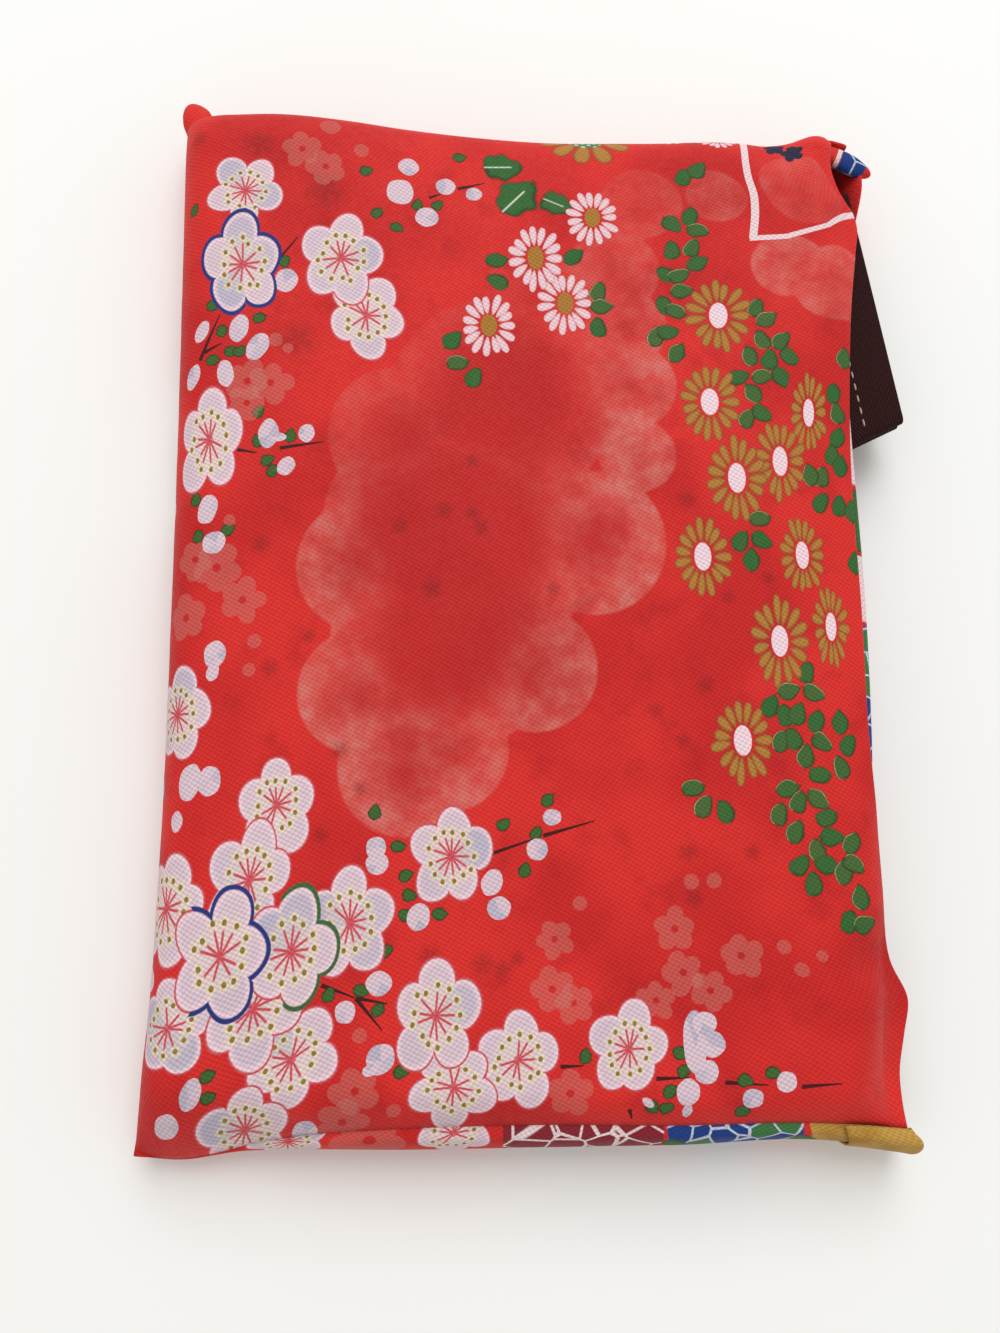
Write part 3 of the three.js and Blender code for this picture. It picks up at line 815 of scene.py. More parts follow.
# %% [markdown]
# On the front there are clouds instead. They are scalloped, palest along their rims, and fade inwards, where
# the red is deeper. Mottles and flecks break them up, as if they were brushed on.

# %% Scalloped clouds
CLOUD_FADE, FLECKS = 13.0, 3.4


def clouded(tree, flat, mottle, ground):
    depth = add(tree, "Attribute", out=2, attribute_name="cloud_mm")
    pale = add(tree, "Attribute", out=2, attribute_name="cloud_pale")
    rim = add(tree, "MapRange", [depth, -0.25, 0.35], **EASED)
    fade = add(tree, "MapRange", [depth, 0.0, CLOUD_FADE, 1.0, 0.1], **EASED)
    flecks = add(tree, "TexNoise", {0: flat, 2: 1 / FLECKS, 3: 3.0, 4: 0.65})
    blotch = add(tree, "MapRange", [mottle, 0.35, 0.65, 1.05, 0.4], **EASED)
    patchy = add(tree, "MapRange", [flecks, 0.36, 0.66, 0.6, 1.2], **EASED)
    mist = add(
        tree, "Math", [add(tree, "Math", [rim, fade], operation="MULTIPLY"), blotch],
        operation="MULTIPLY",
    )
    mist = add(
        tree, "Math", [add(tree, "Math", [mist, patchy], operation="MULTIPLY"), pale],
        operation="MULTIPLY",
    )
    inner = add(tree, "MapRange", [depth, 1.0, 12.0, 0.0, 0.75], **EASED)
    ground = add(tree, "Mix", {0: inner, 6: ground, 7: linear("#C01F1F")}, **BLEND)
    ground = add(tree, "Mix", {0: mist, 6: ground, 7: linear("#D98C80")}, **BLEND)
    return ground


print("a cloud fades over", CLOUD_FADE, "mm")

# %% [markdown]
# The cloth is a light polyester oxford weave, printed on its face. Its threads cross in slanting rows of
# small bumps, and the hollows between them carry a painted shade, so the white petals are dotted with
# grey-lilac and the red is broken by fine darker lines.
# The real rows are about half a millimetre apart, which is finer than the picture shows, so they are drawn
# a little coarser. Two waves across the flat cloth make them, and some fuzz keeps the rows from being ruled.

# %% Weave of the cloth
ROW_PITCH, PICK_PITCH = 0.66, 0.72
ROW_SLANT, PICK_SLANT = math.radians(62), math.radians(-38)
FUZZ, LOOSENESS = 1.1, 3.0


def weave(tree, flat, colour):
    fuzz = add(tree, "TexNoise", {0: flat, 2: 1 / FUZZ, 3: 2.0})
    threads = []
    for pitch, slant in ((ROW_PITCH, ROW_SLANT), (PICK_PITCH, PICK_SLANT)):
        across = (2 * math.pi / pitch * math.cos(slant), 2 * math.pi / pitch * math.sin(slant), 0.0)
        phase = add(tree, "VectorMath", [flat, across], out=1, operation="DOT_PRODUCT")
        loose = add(tree, "Math", [fuzz, LOOSENESS, phase], operation="MULTIPLY_ADD")
        threads.append(add(tree, "Math", [loose], operation="SINE"))
    rows = add(tree, "Math", [threads[0], 0.3, 0.5], operation="MULTIPLY_ADD")
    bumps = add(tree, "Math", [threads[1], 0.2, rows], operation="MULTIPLY_ADD")
    # Painted shade: the hollows between the threads are darkened towards grey-lilac, the crests stay their
    # own colour.
    tint = add(tree, "Mix", {0: bumps, 6: linear("#B3A5B1"), 7: linear("#FFFFFF")}, **BLEND)
    woven = add(tree, "Mix", {0: 0.6, 6: colour, 7: tint}, **BLEND, blend_type="MULTIPLY")
    bump = add(tree, "Bump", {"Strength": 0.3, "Distance": 0.00012, "Height": bumps})
    rough = add(tree, "MapRange", [fuzz, 0.3, 0.7, 0.62, 0.76], **EASED)
    return woven, bump, rough


print("rows of the weave in mm:", ROW_PITCH, PICK_PITCH)

# %% [markdown]
# Now the material is put together: ground, clouds or patches, then leaves, daisies and blossoms over each
# other, and the weave over all. Printed polyester has a soft sheen and no gloss.

# %% Printed cloth
def printed_cloth(name, stamp_layers, pattern):
    material = bpy.data.materials.new(name)
    material.use_nodes = True
    tree = material.node_tree
    cloth = tree.nodes["Principled BSDF"]
    flat = add(tree, "Attribute", out=1, attribute_name="cloth_mm")

    ground, mottle = red_ground(tree, flat)
    colour = pattern(tree, flat, mottle, ground)
    for stamp, group in (("leaf", leaf_stamp), ("daisy", daisy_stamp), ("plum", plum_stamp)):
        for layer in reversed(range(stamp_layers[stamp])):
            place = add(tree, "Attribute", attribute_name=f"{stamp}_{layer}")
            colour = add(tree, "Group", [place, colour], node_tree=group)

    woven, bump, rough = weave(tree, flat, colour)
    tree.links.new(woven, cloth.inputs["Base Color"])
    tree.links.new(rough, cloth.inputs["Roughness"])
    tree.links.new(bump, cloth.inputs["Normal"])
    cloth.inputs["Specular IOR Level"].default_value = 0.2
    cloth.inputs["Sheen Weight"].default_value = 0.03
    cloth.inputs["Sheen Roughness"].default_value = 0.45
    print(name, "has", len(tree.nodes), "nodes of its own")
    return material


front_print = printed_cloth("printed_polyester_oxford_front", CROWDED, clouded)
back_print = printed_cloth("printed_polyester_oxford_back", SPARSE, patched)
tote_print = printed_cloth("printed_polyester_taffeta_tote", SPARSE, patched)

# %% [markdown]
# The pouch is a flat bag, sewn inside out on three sides and turned. Full, it is a soft pillow: the front
# rolls over to the left and top seams, halfway up its side, while at the bottom the back wraps up on to
# the top face, where the seam makes a crease. The right side is the open mouth. A box with rounded edges
# would look moulded, because the edges of a sewn bag are not straight. So a few stops along each edge say
# how far the cloth is drawn in or stands out there.

# %% Sizes and edges of the pouch
HALF_WIDTH = 61.75
HALF_LENGTH = 94.5
SEAM_HEIGHT = 7.0
LIP_HEIGHT = 18.5
CROWN = 2.5
FRONT_ROLL = 10.0
BACK_ROLL = 8.0
SQUARENESS = 2.8
POUCH_WALL = 0.4
HEM_BEND = 0.42
HEM_WIDTH = 9.5
CREASE_Y = -89.2
CREASE_HEIGHT = 14.8

left_edge = [(-96, -2.8), (-86, -1.5), (-76, -0.6), (-43, 0.7), (0, 1.1), (40, 1.0), (72, 0.7), (98, 0.5)]
front_mouth = [
    (-95, 5.0), (-88, 5.1), (-83, 5.4), (-77, 6.6), (-71, 7.5), (-64, 3.7), (-58, 2.3), (-52, 1.9),
    (-40, 1.3), (-29, 0.2), (0, 0.2), (21, -0.4), (37, 0.0), (56, 1.7), (67, 3.5), (73, 4.3), (76, 3.6),
    (80, 0.6), (83, -0.6), (87, -0.6), (91, 0.4), (97, 1.0),
]
back_mouth = [
    (-99, 4.4), (-97.5, 6.2), (-96, 7.2), (-94.5, 7.0), (-93, 5.6), (-91, 4.4), (-83, 3.6), (-70, 3.0),
    (-54, 1.5), (0, 1.0), (40, 1.0), (55, 2.0), (63, 3.8), (70, 6.1), (78, 6.8), (85, 7.0), (88, 6.4),
    (91, 3.2), (94, 0.6), (97, 1.0),
]
top_edge = [
    (-66, -2.2), (-60, -2.0), (-52, -1.5), (-44, -1.0), (-30, -1.9), (-20, -3.3), (-8, -4.6), (3, -5.2),
    (25, -4.9), (44, -4.0), (50, -4.5), (55, -4.0), (58, -3.0), (60, -3.0), (62, -4.0), (64, -5.5),
    (68, -7.0),
]
crease_edge = [
    (-66, -4.2), (-60, -5.6), (-54, -6.1), (-48, -4.8), (-44, -3.5), (-36, -1.6), (-20, -0.3), (0, 0.0),
    (25, -0.4), (48, -0.8), (58, -2.0), (64, -3.4), (70, -4.8),
]
crease_rise = [
    (-66, 6.5), (-54, 6.5), (-48, 7.6), (-44, 9.0), (-36, 12.0), (-20, 14.2), (0, 14.8), (48, 14.8),
    (58, 13.0), (64, 10.6), (70, 8.0),
]
bottom_outline = [
    (-66, -93.4), (-60, -94.9), (-54, -95.5), (-45, -94.4), (-36, -93.9), (-20, -94.1), (0, -94.2),
    (25, -94.2), (50, -94.3), (60, -96.4), (66, -98.0), (72, -98.4),
]


def roll_profile(roll, rise):
    turn = np.linspace(0, np.pi / 2, 97)
    out = roll * (1 - np.cos(turn) ** (2 / SQUARENESS))
    up = np.sin(turn) ** (2 / SQUARENESS)
    steps = np.hypot(np.diff(out), np.diff(up) * rise)
    return np.concatenate([[0], np.cumsum(steps)]), out, up


front_roll = roll_profile(FRONT_ROLL, LIP_HEIGHT - SEAM_HEIGHT)
back_roll = roll_profile(BACK_ROLL, SEAM_HEIGHT)
FRONT_ARC = front_roll[0][-1]
BACK_ARC = back_roll[0][-1]
print("roll of the front, along the cloth:", round(FRONT_ARC, 1), "mm")

# %% [markdown]
# Five small functions lay a place of the cloth on the pouch. The first one follows the roll at a seam, the
# second one gives the height of the top seam, which is drawn up towards the mouth, and the next two move a
# place sideways and lengthwise to the uneven edges. The last one turns the mouth edge under, as a hem.

# %% How the cloth follows the pouch
SEAM_LIFT = 5.5
LIFT_START, LIFT_END = 40, 63


def rolled(distance, profile):
    length, out, up = profile
    beyond = np.maximum(distance - length[-1], 0)
    return np.interp(distance, length, out) + beyond, np.interp(distance, length, up)


def seam_height(column):
    return SEAM_HEIGHT + SEAM_LIFT * ramp(column, LIFT_START, LIFT_END)


def sideways(column, y, mouth):
    right = np.clip((column + HALF_WIDTH) / (2 * HALF_WIDTH), 0, 1.1)
    x = column + smooth_path(left_edge, y) * (1 - np.clip(right, 0, 1)) ** 3
    return x + smooth_path(mouth, y) * right ** 6


def lengthwise(column, row, creased):
    up = (row - CREASE_Y) / (HALF_LENGTH - CREASE_Y)
    y = row + smooth_path(top_edge, column) * np.clip(up, 0, 1) ** 4
    return y + creased * smooth_path(crease_edge, column) * np.clip(1 - up, 0, 1) ** 4


def hem_turn(across):
    over = np.maximum(across - HALF_WIDTH, 0)
    angle = np.clip(over / HEM_BEND, 0, np.pi)
    inward = np.maximum(over - np.pi * HEM_BEND, 0)
    column = np.minimum(across, HALF_WIDTH) + HEM_BEND * np.sin(angle) - inward
    return column, HEM_BEND * (1 - np.cos(angle))


print("the top seam is", seam_height(np.array([-60.0, 62.0])), "mm high at its ends")

# %% [markdown]
# The front panel: a height over the table for each place of the cloth. It rises steeply from the left and
# top seams, is crowned in the middle, sags a little at the mouth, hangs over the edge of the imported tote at
# the lower right, and meets the crease at the bottom. Sculpting could give such a shape, but a height that
# is worked out can be corrected in millimetres. Small ripples, a dent beside the lower bulge and puckers at
# the seams keep it from looking moulded. The mouth edge is turned under once, as a hem.

# %% Front panel
FRONT_LEFT = -HALF_WIDTH + FRONT_ROLL - FRONT_ARC
FRONT_TOP = HALF_LENGTH - FRONT_ROLL + FRONT_ARC
HEM_TURNED = HALF_WIDTH + math.pi * HEM_BEND
HEM_END = HEM_TURNED + HEM_WIDTH
SAG, SAG_START, SAG_WIDTH = 1.6, 54, 9
LOWER_DROOP, UPPER_DROOP, LIP_ROLL = 5.5, 1.5, 1.3
CREASE_REACH, LOW_REACH = 6.5, 15
DENTS = [(1.9, 59.5, -63.5, 4, 4.5), (0.9, 61, -84, 4, 5), (0.5, 46, -68, 5, 9)]
BULGES = [(1.0, 63, -71, 4, 6), (0.8, 60.5, 88.5, 4, 4), (-0.9, 50, 86, 6, 4)]
RIPPLE_HEIGHT, PUCKER_HEIGHT, PUCKER_REACH = 0.3, 0.3, 14


def mouth_sag(x):
    return SAG * np.clip((x - SAG_START) / SAG_WIDTH, 0, 1.2) ** 2


def hills(x, y, places):
    total = 0
    for height, middle_x, middle_y, wide, long in places:
        total = total + height * np.exp(-(((x - middle_x) / wide) ** 2 + ((y - middle_y) / long) ** 2))
    return total


def overhang(x, y):
    droop = LOWER_DROOP * ramp(y, -52, -74) + UPPER_DROOP * ramp(y, 58, 80)
    edge_roll = LIP_ROLL * ramp(y, -25, -45) * np.clip((x - 59.5) / 3.5, 0, 1.3) ** 2
    return droop * ramp(x, 56, 69) + edge_roll


def front_place(u, v):
    across, lift_x = rolled(u - FRONT_LEFT, front_roll)
    column, drop = hem_turn(across - HALF_WIDTH)
    down, lift_y = rolled(FRONT_TOP - v, front_roll)
    row = HALF_LENGTH - down
    y = lengthwise(column, row, 1.0)
    x = sideways(column, y, front_mouth)
    s, t = column / HALF_WIDTH, row / HALF_LENGTH
    lift = lift_x * lift_y
    low = seam_height(column)
    z = low + (LIP_HEIGHT - low) * lift
    z = z + CROWN * np.clip(1 - s * s, 0, 1) * np.clip(1 - t * t, 0, 1) - mouth_sag(x) * lift_y
    z = z - overhang(x, y) * lift_y - hills(x, y, DENTS) + hills(x, y, BULGES)
    over = np.where(u > HALF_WIDTH, column, u)
    z = z + RIPPLE_HEIGHT * ripples(over, v, seed=5, longest=70, shortest=18) * lift
    near_left = np.exp(-((u - FRONT_LEFT) / PUCKER_REACH) ** 2)
    near_top = np.exp(-((FRONT_TOP - v) / PUCKER_REACH) ** 2)
    puckers = ripples(over * 0.3, v, seed=8, longest=16, shortest=7)
    z = z + PUCKER_HEIGHT * (near_left + near_top) * lift * puckers
    height = smooth_path(crease_rise, column)
    slope = CREASE_REACH + LOW_REACH * (CREASE_HEIGHT - height) / CREASE_HEIGHT
    z = z + (height - z) * np.clip(1 - (row - CREASE_Y) / slope, 0, 1) ** 2
    return x, y, z - drop


us = np.concatenate([
    np.linspace(FRONT_LEFT, HALF_WIDTH - 0.6, 180),
    np.linspace(HALF_WIDTH, HEM_TURNED, 7),
    np.linspace(HEM_TURNED + 1.2, HEM_END, 7),
])
vs = np.linspace(CREASE_Y, FRONT_TOP, 244)
pouch_front = grid_cloth("pouch_front", us, vs, front_place, front_print, wall=POUCH_WALL)
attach(pouch_front, "pouch")
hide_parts("pouch_front_panel", "pouch_front_hem")

# %% [markdown]
# Now the layout of the front's print. It is written as it is seen in the picture, in millimetres at the
# height of the top face: blossoms crowd the lower left and the left edge, with buds on twigs between them.
# Pale daisies and a chrysanthemum hang from the top, gold daisies and leaf sprigs run down the right side,
# and a large cloud lies across the middle. In each list, what comes later lies over what comes before. First
# the blossoms and buds: place, size or length and width, turn and, for open blossoms, the kind.

# %% Layout of the front: blossoms and buds
faint_blossoms = [
    (-38.3, 82.4, 7.5), (-34, 79, 7.5), (-47, 37.5, 8), (-43, 37.3, 8), (-47, 33.5, 7), (-51.3, 3.8, 9),
    (-55, 5.2, 7), (-46.8, -1.8, 8), (-56.2, -5, 8), (5.8, -58.9, 6.6), (5.3, -66.9, 7.4),
    (8.8, -69.2, 6.4), (8, -83.4, 8), (26, -57.5, 7.4), (27.2, -64.6, 7.4), (31.7, -67.6, 7),
    (37.1, -62, 7.6), (22.5, -69, 6.4), (-28.8, -87, 8.5), (-26.8, -82.3, 8),
]
faint_dots = [
    (-27.8, 82.4, 3.2), (-33.5, 87.2, 4.5), (-42.3, 45.6, 3), (-40, 43.9, 2.2), (-49.2, 12.3, 2.4),
    (-44.8, -9, 2.8), (-45.6, -13.8, 2.6), (29, -49.6, 3), (33, -49.4, 3), (10.3, -53, 2.8),
    (44.7, -60.7, 2.8), (47.5, -64.6, 2.8), (50.8, -62.2, 2.2), (-26.2, -73.5, 2.8), (-20.5, -85.3, 2.8),
]
blossoms = [
    (-48.3, 73.8, 13.8, 13.6, 54, PLAIN), (-48.4, 59.5, 19, 14.2, 95, BLUE_LINE),
    (-26.3, 50.3, 17.6, 15, -86, PLAIN), (-31, 61.2, 18.2, 15, 80, PLAIN), (-53.2, 26.6, 20, 13, 88, PLAIN),
    (-61.5, 12.3, 9.5, 9, 20, PLAIN), (-63, 24, 10, 10, 0, PLAIN), (-57, -21.5, 16, 13, 82, PLAIN),
    (-62, -34, 10, 9.4, 0, BLUE_LINE), (-40.3, -36.6, 17, 13.4, 92, PLAIN),
    (-44.4, -48.8, 18.4, 14, 78, PLAIN), (-28, -55.8, 17.4, 14.4, 92, PLAIN),
    (-57.7, -53.2, 18.4, 14.6, 72, PLAIN), (-59.5, -64, 10, 9, 0, PLAIN),
    (-56.8, -72, 15.6, 14.6, 20, PLAIN), (-37, -77.2, 16.4, 15, 56, PLAIN),
    (-43.4, -69.2, 16.4, 18.4, -14, PLAIN), (-37.5, -60.3, 15, 19, 3, GREEN_PART),
    (-48.8, -61, 16, 19.6, 2, BLUE_PART), (-44, -87.8, 15.4, 15, 88, PLAIN),
    (-11.3, -45.2, 16.6, 13.8, 85, PLAIN), (-0.5, -78, 16.6, 14, 85, PLAIN),
    (-11, -82, 15, 14.4, 50, PLAIN), (-13.9, -70.8, 18, 14.2, 88, PLAIN),
    (17.9, -76.6, 15.6, 13, 80, PLAIN),
]
buds = [
    (-19.2, 79.6, 4.4, 4.2, 0), (-20.9, 74.4, 6.3, 5.8, 90), (-12, 75.9, 4.2, 4.1, 0),
    (-6.8, 74.5, 3.5, 3.3, 20), (-15.9, 69.5, 4.9, 4.8, 0), (-40.9, 56.3, 5.4, 4.8, 70),
    (-55.4, 46.4, 5, 2.9, 65), (-49, 47.5, 6.2, 3.9, 75), (-45.4, 44.4, 6.4, 4.2, 60),
    (-50.9, 39.3, 5.8, 3.5, 95), (-56.3, 38.3, 5.6, 3.2, 72), (-43.3, 27.6, 6.2, 4.2, 85),
    (-36.8, 28.1, 3.9, 3.3, 80), (-40, 22.3, 4.3, 3.3, 50), (-41.2, 27.4, 3.4, 1.8, 0),
    (-53, 14.5, 6.2, 4, 75), (-51.6, 8.2, 5, 4.3, 40), (-50.9, -11.4, 5.4, 4.3, 75),
    (-51.6, -14.2, 3.6, 2.4, 70), (-54.8, -32.4, 7, 4.6, 75), (-51.4, -32.1, 5.6, 4.6, 80),
    (-56.4, -39, 3.9, 2.8, 85), (-23.5, -43.6, 4.2, 3.9, 90), (-23.7, -46.6, 4.4, 4.2, 0),
    (-16.7, -55.4, 5.2, 4.4, 70), (-22.8, -65.4, 4.9, 4.6, 0), (-28.5, -69.7, 4.2, 3.9, 90),
    (-4.2, -49.4, 5.2, 4, 70), (-3.4, -54.1, 4.6, 4.4, 0), (-22.7, -77.8, 5.8, 5.2, 60),
    (-24.6, -79.2, 3, 2.2, 20), (-53.1, -82.7, 5.8, 3.8, 75), (-56.2, -87, 5.4, 4.6, 60),
    (-34.5, -88.4, 4.8, 4.8, 0), (3, -44.5, 4.2, 4.2, 0), (5.5, -39, 3.6, 3.2, 0), (27.3, -84, 5, 4.3, 80),
    (27, -86.6, 2.6, 1.8, 80), (38.2, -84.6, 3.9, 3.7, 0), (44.2, -82.3, 3.9, 3.6, 90),
    (20.6, -85.1, 2.6, 1.5, -40), (28.9, -76.6, 11.8, 4.4, 92), (30.2, -72.7, 4.4, 4.4, 0),
    (31.4, -76.3, 4.8, 4.6, 90), (30.7, -80.2, 4.4, 4.4, 0),
]
print("blossoms:", len(blossoms), "buds:", len(buds), "faint:", len(faint_blossoms) + len(faint_dots))

# %% [markdown]
# Daisies have a place, a width, a length and a kind. They are drawn as if seen at a slant, so most of them
# are taller than wide. Leaves and bud scales each have one size, so a place and a turn are enough for them.

# %% Layout of the front: daisies and leaves
LEAF_SIZE = (4.2, 3.25)
BUD_SCALE_SIZE = (2.6, 2.2)

daisies = [
    (29.2, 85, 9.6, 10, PALE_DAISY), (38.7, 86.6, 8.4, 8.5, PALE_DAISY),
    (14.8, 70.4, 10.6, 12.6, PALE_DAISY), (9.5, 53.5, 10.8, 13.6, PALE_DAISY),
    (4.2, 62.2, 10.8, 15, PALE_DAISY), (-4.4, 48.9, 11, 13.4, PALE_DAISY), (13.8, 86, 20, 18, LARGE_DAISY),
    (37.6, 51.8, 12.6, 16, GOLD_DAISY), (35.4, 35.2, 12.2, 16, GOLD_DAISY),
    (53.5, 33.4, 7.6, 16.5, GOLD_DAISY), (47.8, 24.2, 10.4, 17, GOLD_DAISY),
    (39.8, 21, 12.2, 17, GOLD_DAISY), (33.1, 6.5, 11.4, 15.6, GOLD_DAISY), (51, 6.9, 9, 15.4, GOLD_DAISY),
    (46.2, -8.6, 11.4, 17, GOLD_DAISY), (55.5, -6, 7.4, 15.6, GOLD_DAISY),
    (38.9, -26, 11.8, 16, GOLD_DAISY),
]
leaves = [
    (29.6, 69.5, -45), (33, 71.2, 85), (34.4, 68.4, -15), (29.4, 64.4, 95), (33.2, 65, 70),
    (34.1, 61.9, 30), (28.2, 59.6, 150), (30.6, 59.4, 20), (31, 56.4, 10), (27.6, 53.6, 110),
    (29.8, 52.4, -20), (25.9, 47.4, 70), (28.2, 48.3, 10), (29.7, 44.4, 60), (44.7, 53.5, 75),
    (46.6, 51.3, 35), (45.5, 47.3, 120), (49.1, 47.2, 55), (50.5, 44, -50), (46.8, 43.5, 80),
    (43.1, 44.1, 110), (45.3, 40.2, 10), (40.9, 40, 20), (48.7, 40.1, -65), (43.4, 37, 125),
    (42.2, 32.2, 60), (44.9, 33.1, -35), (60.6, 44, 90), (58.3, 37.2, 85), (58.8, 33.4, 100),
    (58.6, 28.8, 70), (57.4, 25.5, 95), (58.8, 23.4, 80), (55.3, 21.4, 80), (53.2, 21.7, 100),
    (54.9, 16.6, 60), (58.2, 16, 75), (60.5, 15, 90), (60.6, 5.5, 85), (43.7, 13.5, 10), (40, 9.4, 55),
    (43.8, 9.5, -25), (41.8, 6, 85), (50.7, -14.1, 75), (47.4, -17.4, 15), (51.8, -17.8, -25),
    (44, -20, 65), (46.5, -21.6, 95), (48.8, -21.4, 70), (52, -22.7, 75), (45.6, -26.1, 60),
    (47.8, -25.7, 110), (52.8, -26.4, -35), (56.2, -22.9, 90), (57.4, -26.8, 60), (56, -30.7, 100),
    (49.8, -28.7, 80), (52.2, -32, 0), (30, -34.1, 10), (31.7, -37.2, 55), (35.3, -38.1, 115),
    (46.4, -34.3, 15), (48.2, -36.5, 65), (51.6, -36.2, -40), (44.7, -38.6, 75), (47.4, -41.6, 65),
    (53, -39.3, 20), (53.7, -42.6, 0), (57.1, -43.6, 60), (51, -44.8, 95), (47.9, -47.2, 50),
    (52.6, -47.3, -15), (55.4, -48.5, 85), (57.3, -47.2, -30), (50.1, -50.4, 85), (58.1, -52.7, 95),
    (55.9, -56.7, 70), (58.6, -57.2, 20), (-2.9, 61.5, 10), (-2.8, 57.4, 160), (11.2, 62.6, 40),
    (15.6, 56, 75), (16.1, 53, 0), (15.4, 49, 100), (32, 79, 60), (34.8, 80.6, 50), (-10.9, 46, 50),
    (-10, 41.7, 10), (-7.1, 39, 60),
]
large_leaves = [(-1.6, 79.9, 7.4, 6.4, 5), (1.1, 74, 8.8, 7.4, 50), (8.3, 72.9, 6.2, 5.4, -25)]
bud_scales = [
    (-26.6, 78.4, 20), (-24.6, 70.2, 60), (-21, 67.4, -30), (-17.3, 72, 80), (-13.6, 72, 50),
    (-9.6, 81.6, 10), (-41, 60.3, 70), (-57.2, 69.6, 60), (-53.4, 51.6, 40), (-51.7, 46.8, 70),
    (-45.2, 49.4, 20), (-50, 43, 10), (-48.5, 43.1, 50), (-53.1, 41.3, 10), (-44.9, 32, 60),
    (-39.3, 27.6, 80), (-45, 26.6, 110), (-43.2, 23.1, 30), (-42.3, 21.2, 60), (-24, -37.8, 80),
    (-20.1, -43.5, 10), (-18.8, -48.3, 20), (-18.2, -51.5, -10), (-18.8, -54.8, -30), (-13.2, -54.6, 0),
    (-22, -60.4, 35), (-31.2, -67.2, 60), (-26, -66.7, -20), (-23.2, -69.7, 40), (-19.4, -79.5, 0),
    (-50.2, -79.5, 20), (-50, -82.8, 10), (24.4, -83.4, 40), (23.8, -86, 20), (26.3, -77.5, -30),
    (26.9, -80.2, 40), (10.6, -77.6, 80), (21.4, -85.8, -50), (37, -82, -20), (36.3, -86.8, 0),
    (41.7, -80.9, -20), (-2.5, -40, 40), (5, -36, 50), (3, -41.5, 60), (1, -47.6, 70), (-55.2, 15.8, 80),
    (-49.6, 10.5, 30), (-54.6, 9.3, 70),
]
print("daisies:", len(daisies), "leaves:", len(leaves), "bud scales:", len(bud_scales))

# %% [markdown]
# Twigs and rules go from one end to the other. Smudges and the small navy flowers have a place and a size,
# and each disc of the clouds has a place, a radius and how pale it is.

# %% Layout of the front: strokes, smudges and clouds
TWIG_WIDTH = 0.75

twigs = [
    (-43.5, 58.7, -38.7, 65.1), (-55.4, 41, -52.1, 50), (-54.6, 42.6, -51.6, 44.5), (-48.9, 25, -45, 24.4),
    (-41.2, 25.3, -33.4, 26.6), (-10, 75.3, -5, 76.6), (-15.2, 73.4, -13, 74.2),
    (-32.5, -65.7, -26.9, -67.8), (-26.9, -67.8, -21.6, -68.8), (-26.9, -67.8, -22.5, -73),
    (-6.5, -45.5, 4, -42), (4, -42, 13, -39.5), (6.4, -79.2, 10.3, -79.1), (22.1, -81.4, 27.9, -81.3),
    (33.5, -82.2, 40.9, -82.8), (46.3, -83.2, 53.3, -82.8), (17.6, -86, 18, -87.6),
]
rules = [
    (43.6, 87, 44.7, 67, 1.45), (44, 67.1, 52, 67.9, 1.1), (51.5, 67.9, 59.5, 70.4, 1.1),
    (59, 70.2, 65, 73.5, 1.1),
]
smudges = [
    (-34, 74.5, 12), (-38.5, 45.5, 11), (-46, 83, 9), (-57, 83.5, 6), (-7.5, 23.5, 4), (-12.5, 14.5, 5),
    (-7.5, 14, 4), (-6, 11.5, 5), (-20, 11.5, 4.5), (-14.5, 0.5, 6), (6.5, 0.5, 4), (30.7, 16.8, 5),
    (37.4, -0.8, 4), (44.7, 2.6, 4), (32.8, -16.4, 5), (24, -20.8, 4.4), (28.6, -25.8, 4), (39.8, -45, 4.4),
    (28.6, -45, 5), (29.5, -52.6, 5), (-14.8, -61.3, 6), (-6.2, -62.9, 6), (-2.9, -63.7, 5), (-0.4, -62, 4),
    (-33, -41.5, 4), (-30, -27.5, 5), (-26.5, -34, 4), (-42, -13.5, 5), (-35.5, -8, 4), (-44, 8, 5),
]
navy_flowers = [(49.4, 85.4, 4.4), (53, 84.6, 4.6)]
cloud_discs = [
    (24, 73.5, 7.5, 0.18), (18.5, 60, 8.5, 0.3), (20.5, 49, 7.5, 0.3), (21, 38, 8.5, 0.6), (22, 25, 7, 0.6),
    (38.2, 75.5, 5.6, 0.3), (54.5, 77.5, 7.5, 0.22), (51, 62, 6.6, 0.5), (60, 59, 8, 0.42),
    (13.5, 9, 13.2, 0.6), (3, -13.5, 11, 0.6), (-26.5, 4.5, 11.6, 0.65), (-27, -17.5, 10.5, 0.65),
    (-19, -30.5, 11.5, 0.6), (-12, -27.5, 10.5, 0.55), (-20, 28, 13, 0.2), (-10, 10, 24, 0.2),
    (-2, 35, 20, 0.1), (-12, -8, 20, 0.2), (4, 55, 9, 0.1),
]
print("twigs:", len(twigs), "smudges:", len(smudges), "discs of cloud:", len(cloud_discs))

# %% [markdown]
# The layout was written at one height, but the cloth is not flat. So the whole front is laid on its shape in
# fine steps, and each place is seen from the camera at the height of the layout. One function then finds the
# place of the flat cloth that is seen at a point. It is done once, so the print stays on the cloth.

# %% From the picture to the flat cloth
LAYOUT_LEVEL = 19.3
FINE_STEP = 0.35

eye = np.array(camera.location) / MM
fine_us = np.arange(FRONT_LEFT, HALF_WIDTH, FINE_STEP)
fine_vs = np.arange(CREASE_Y, FRONT_TOP, FINE_STEP)
fine_u, fine_v = np.meshgrid(fine_us, fine_vs)
spots = np.stack(front_place(fine_u.ravel(), fine_v.ravel()), axis=1)
stretch = (LAYOUT_LEVEL - eye[2]) / (spots[:, 2] - eye[2])
seen = eye[:2] + (spots[:, :2] - eye[:2]) * stretch[:, None]


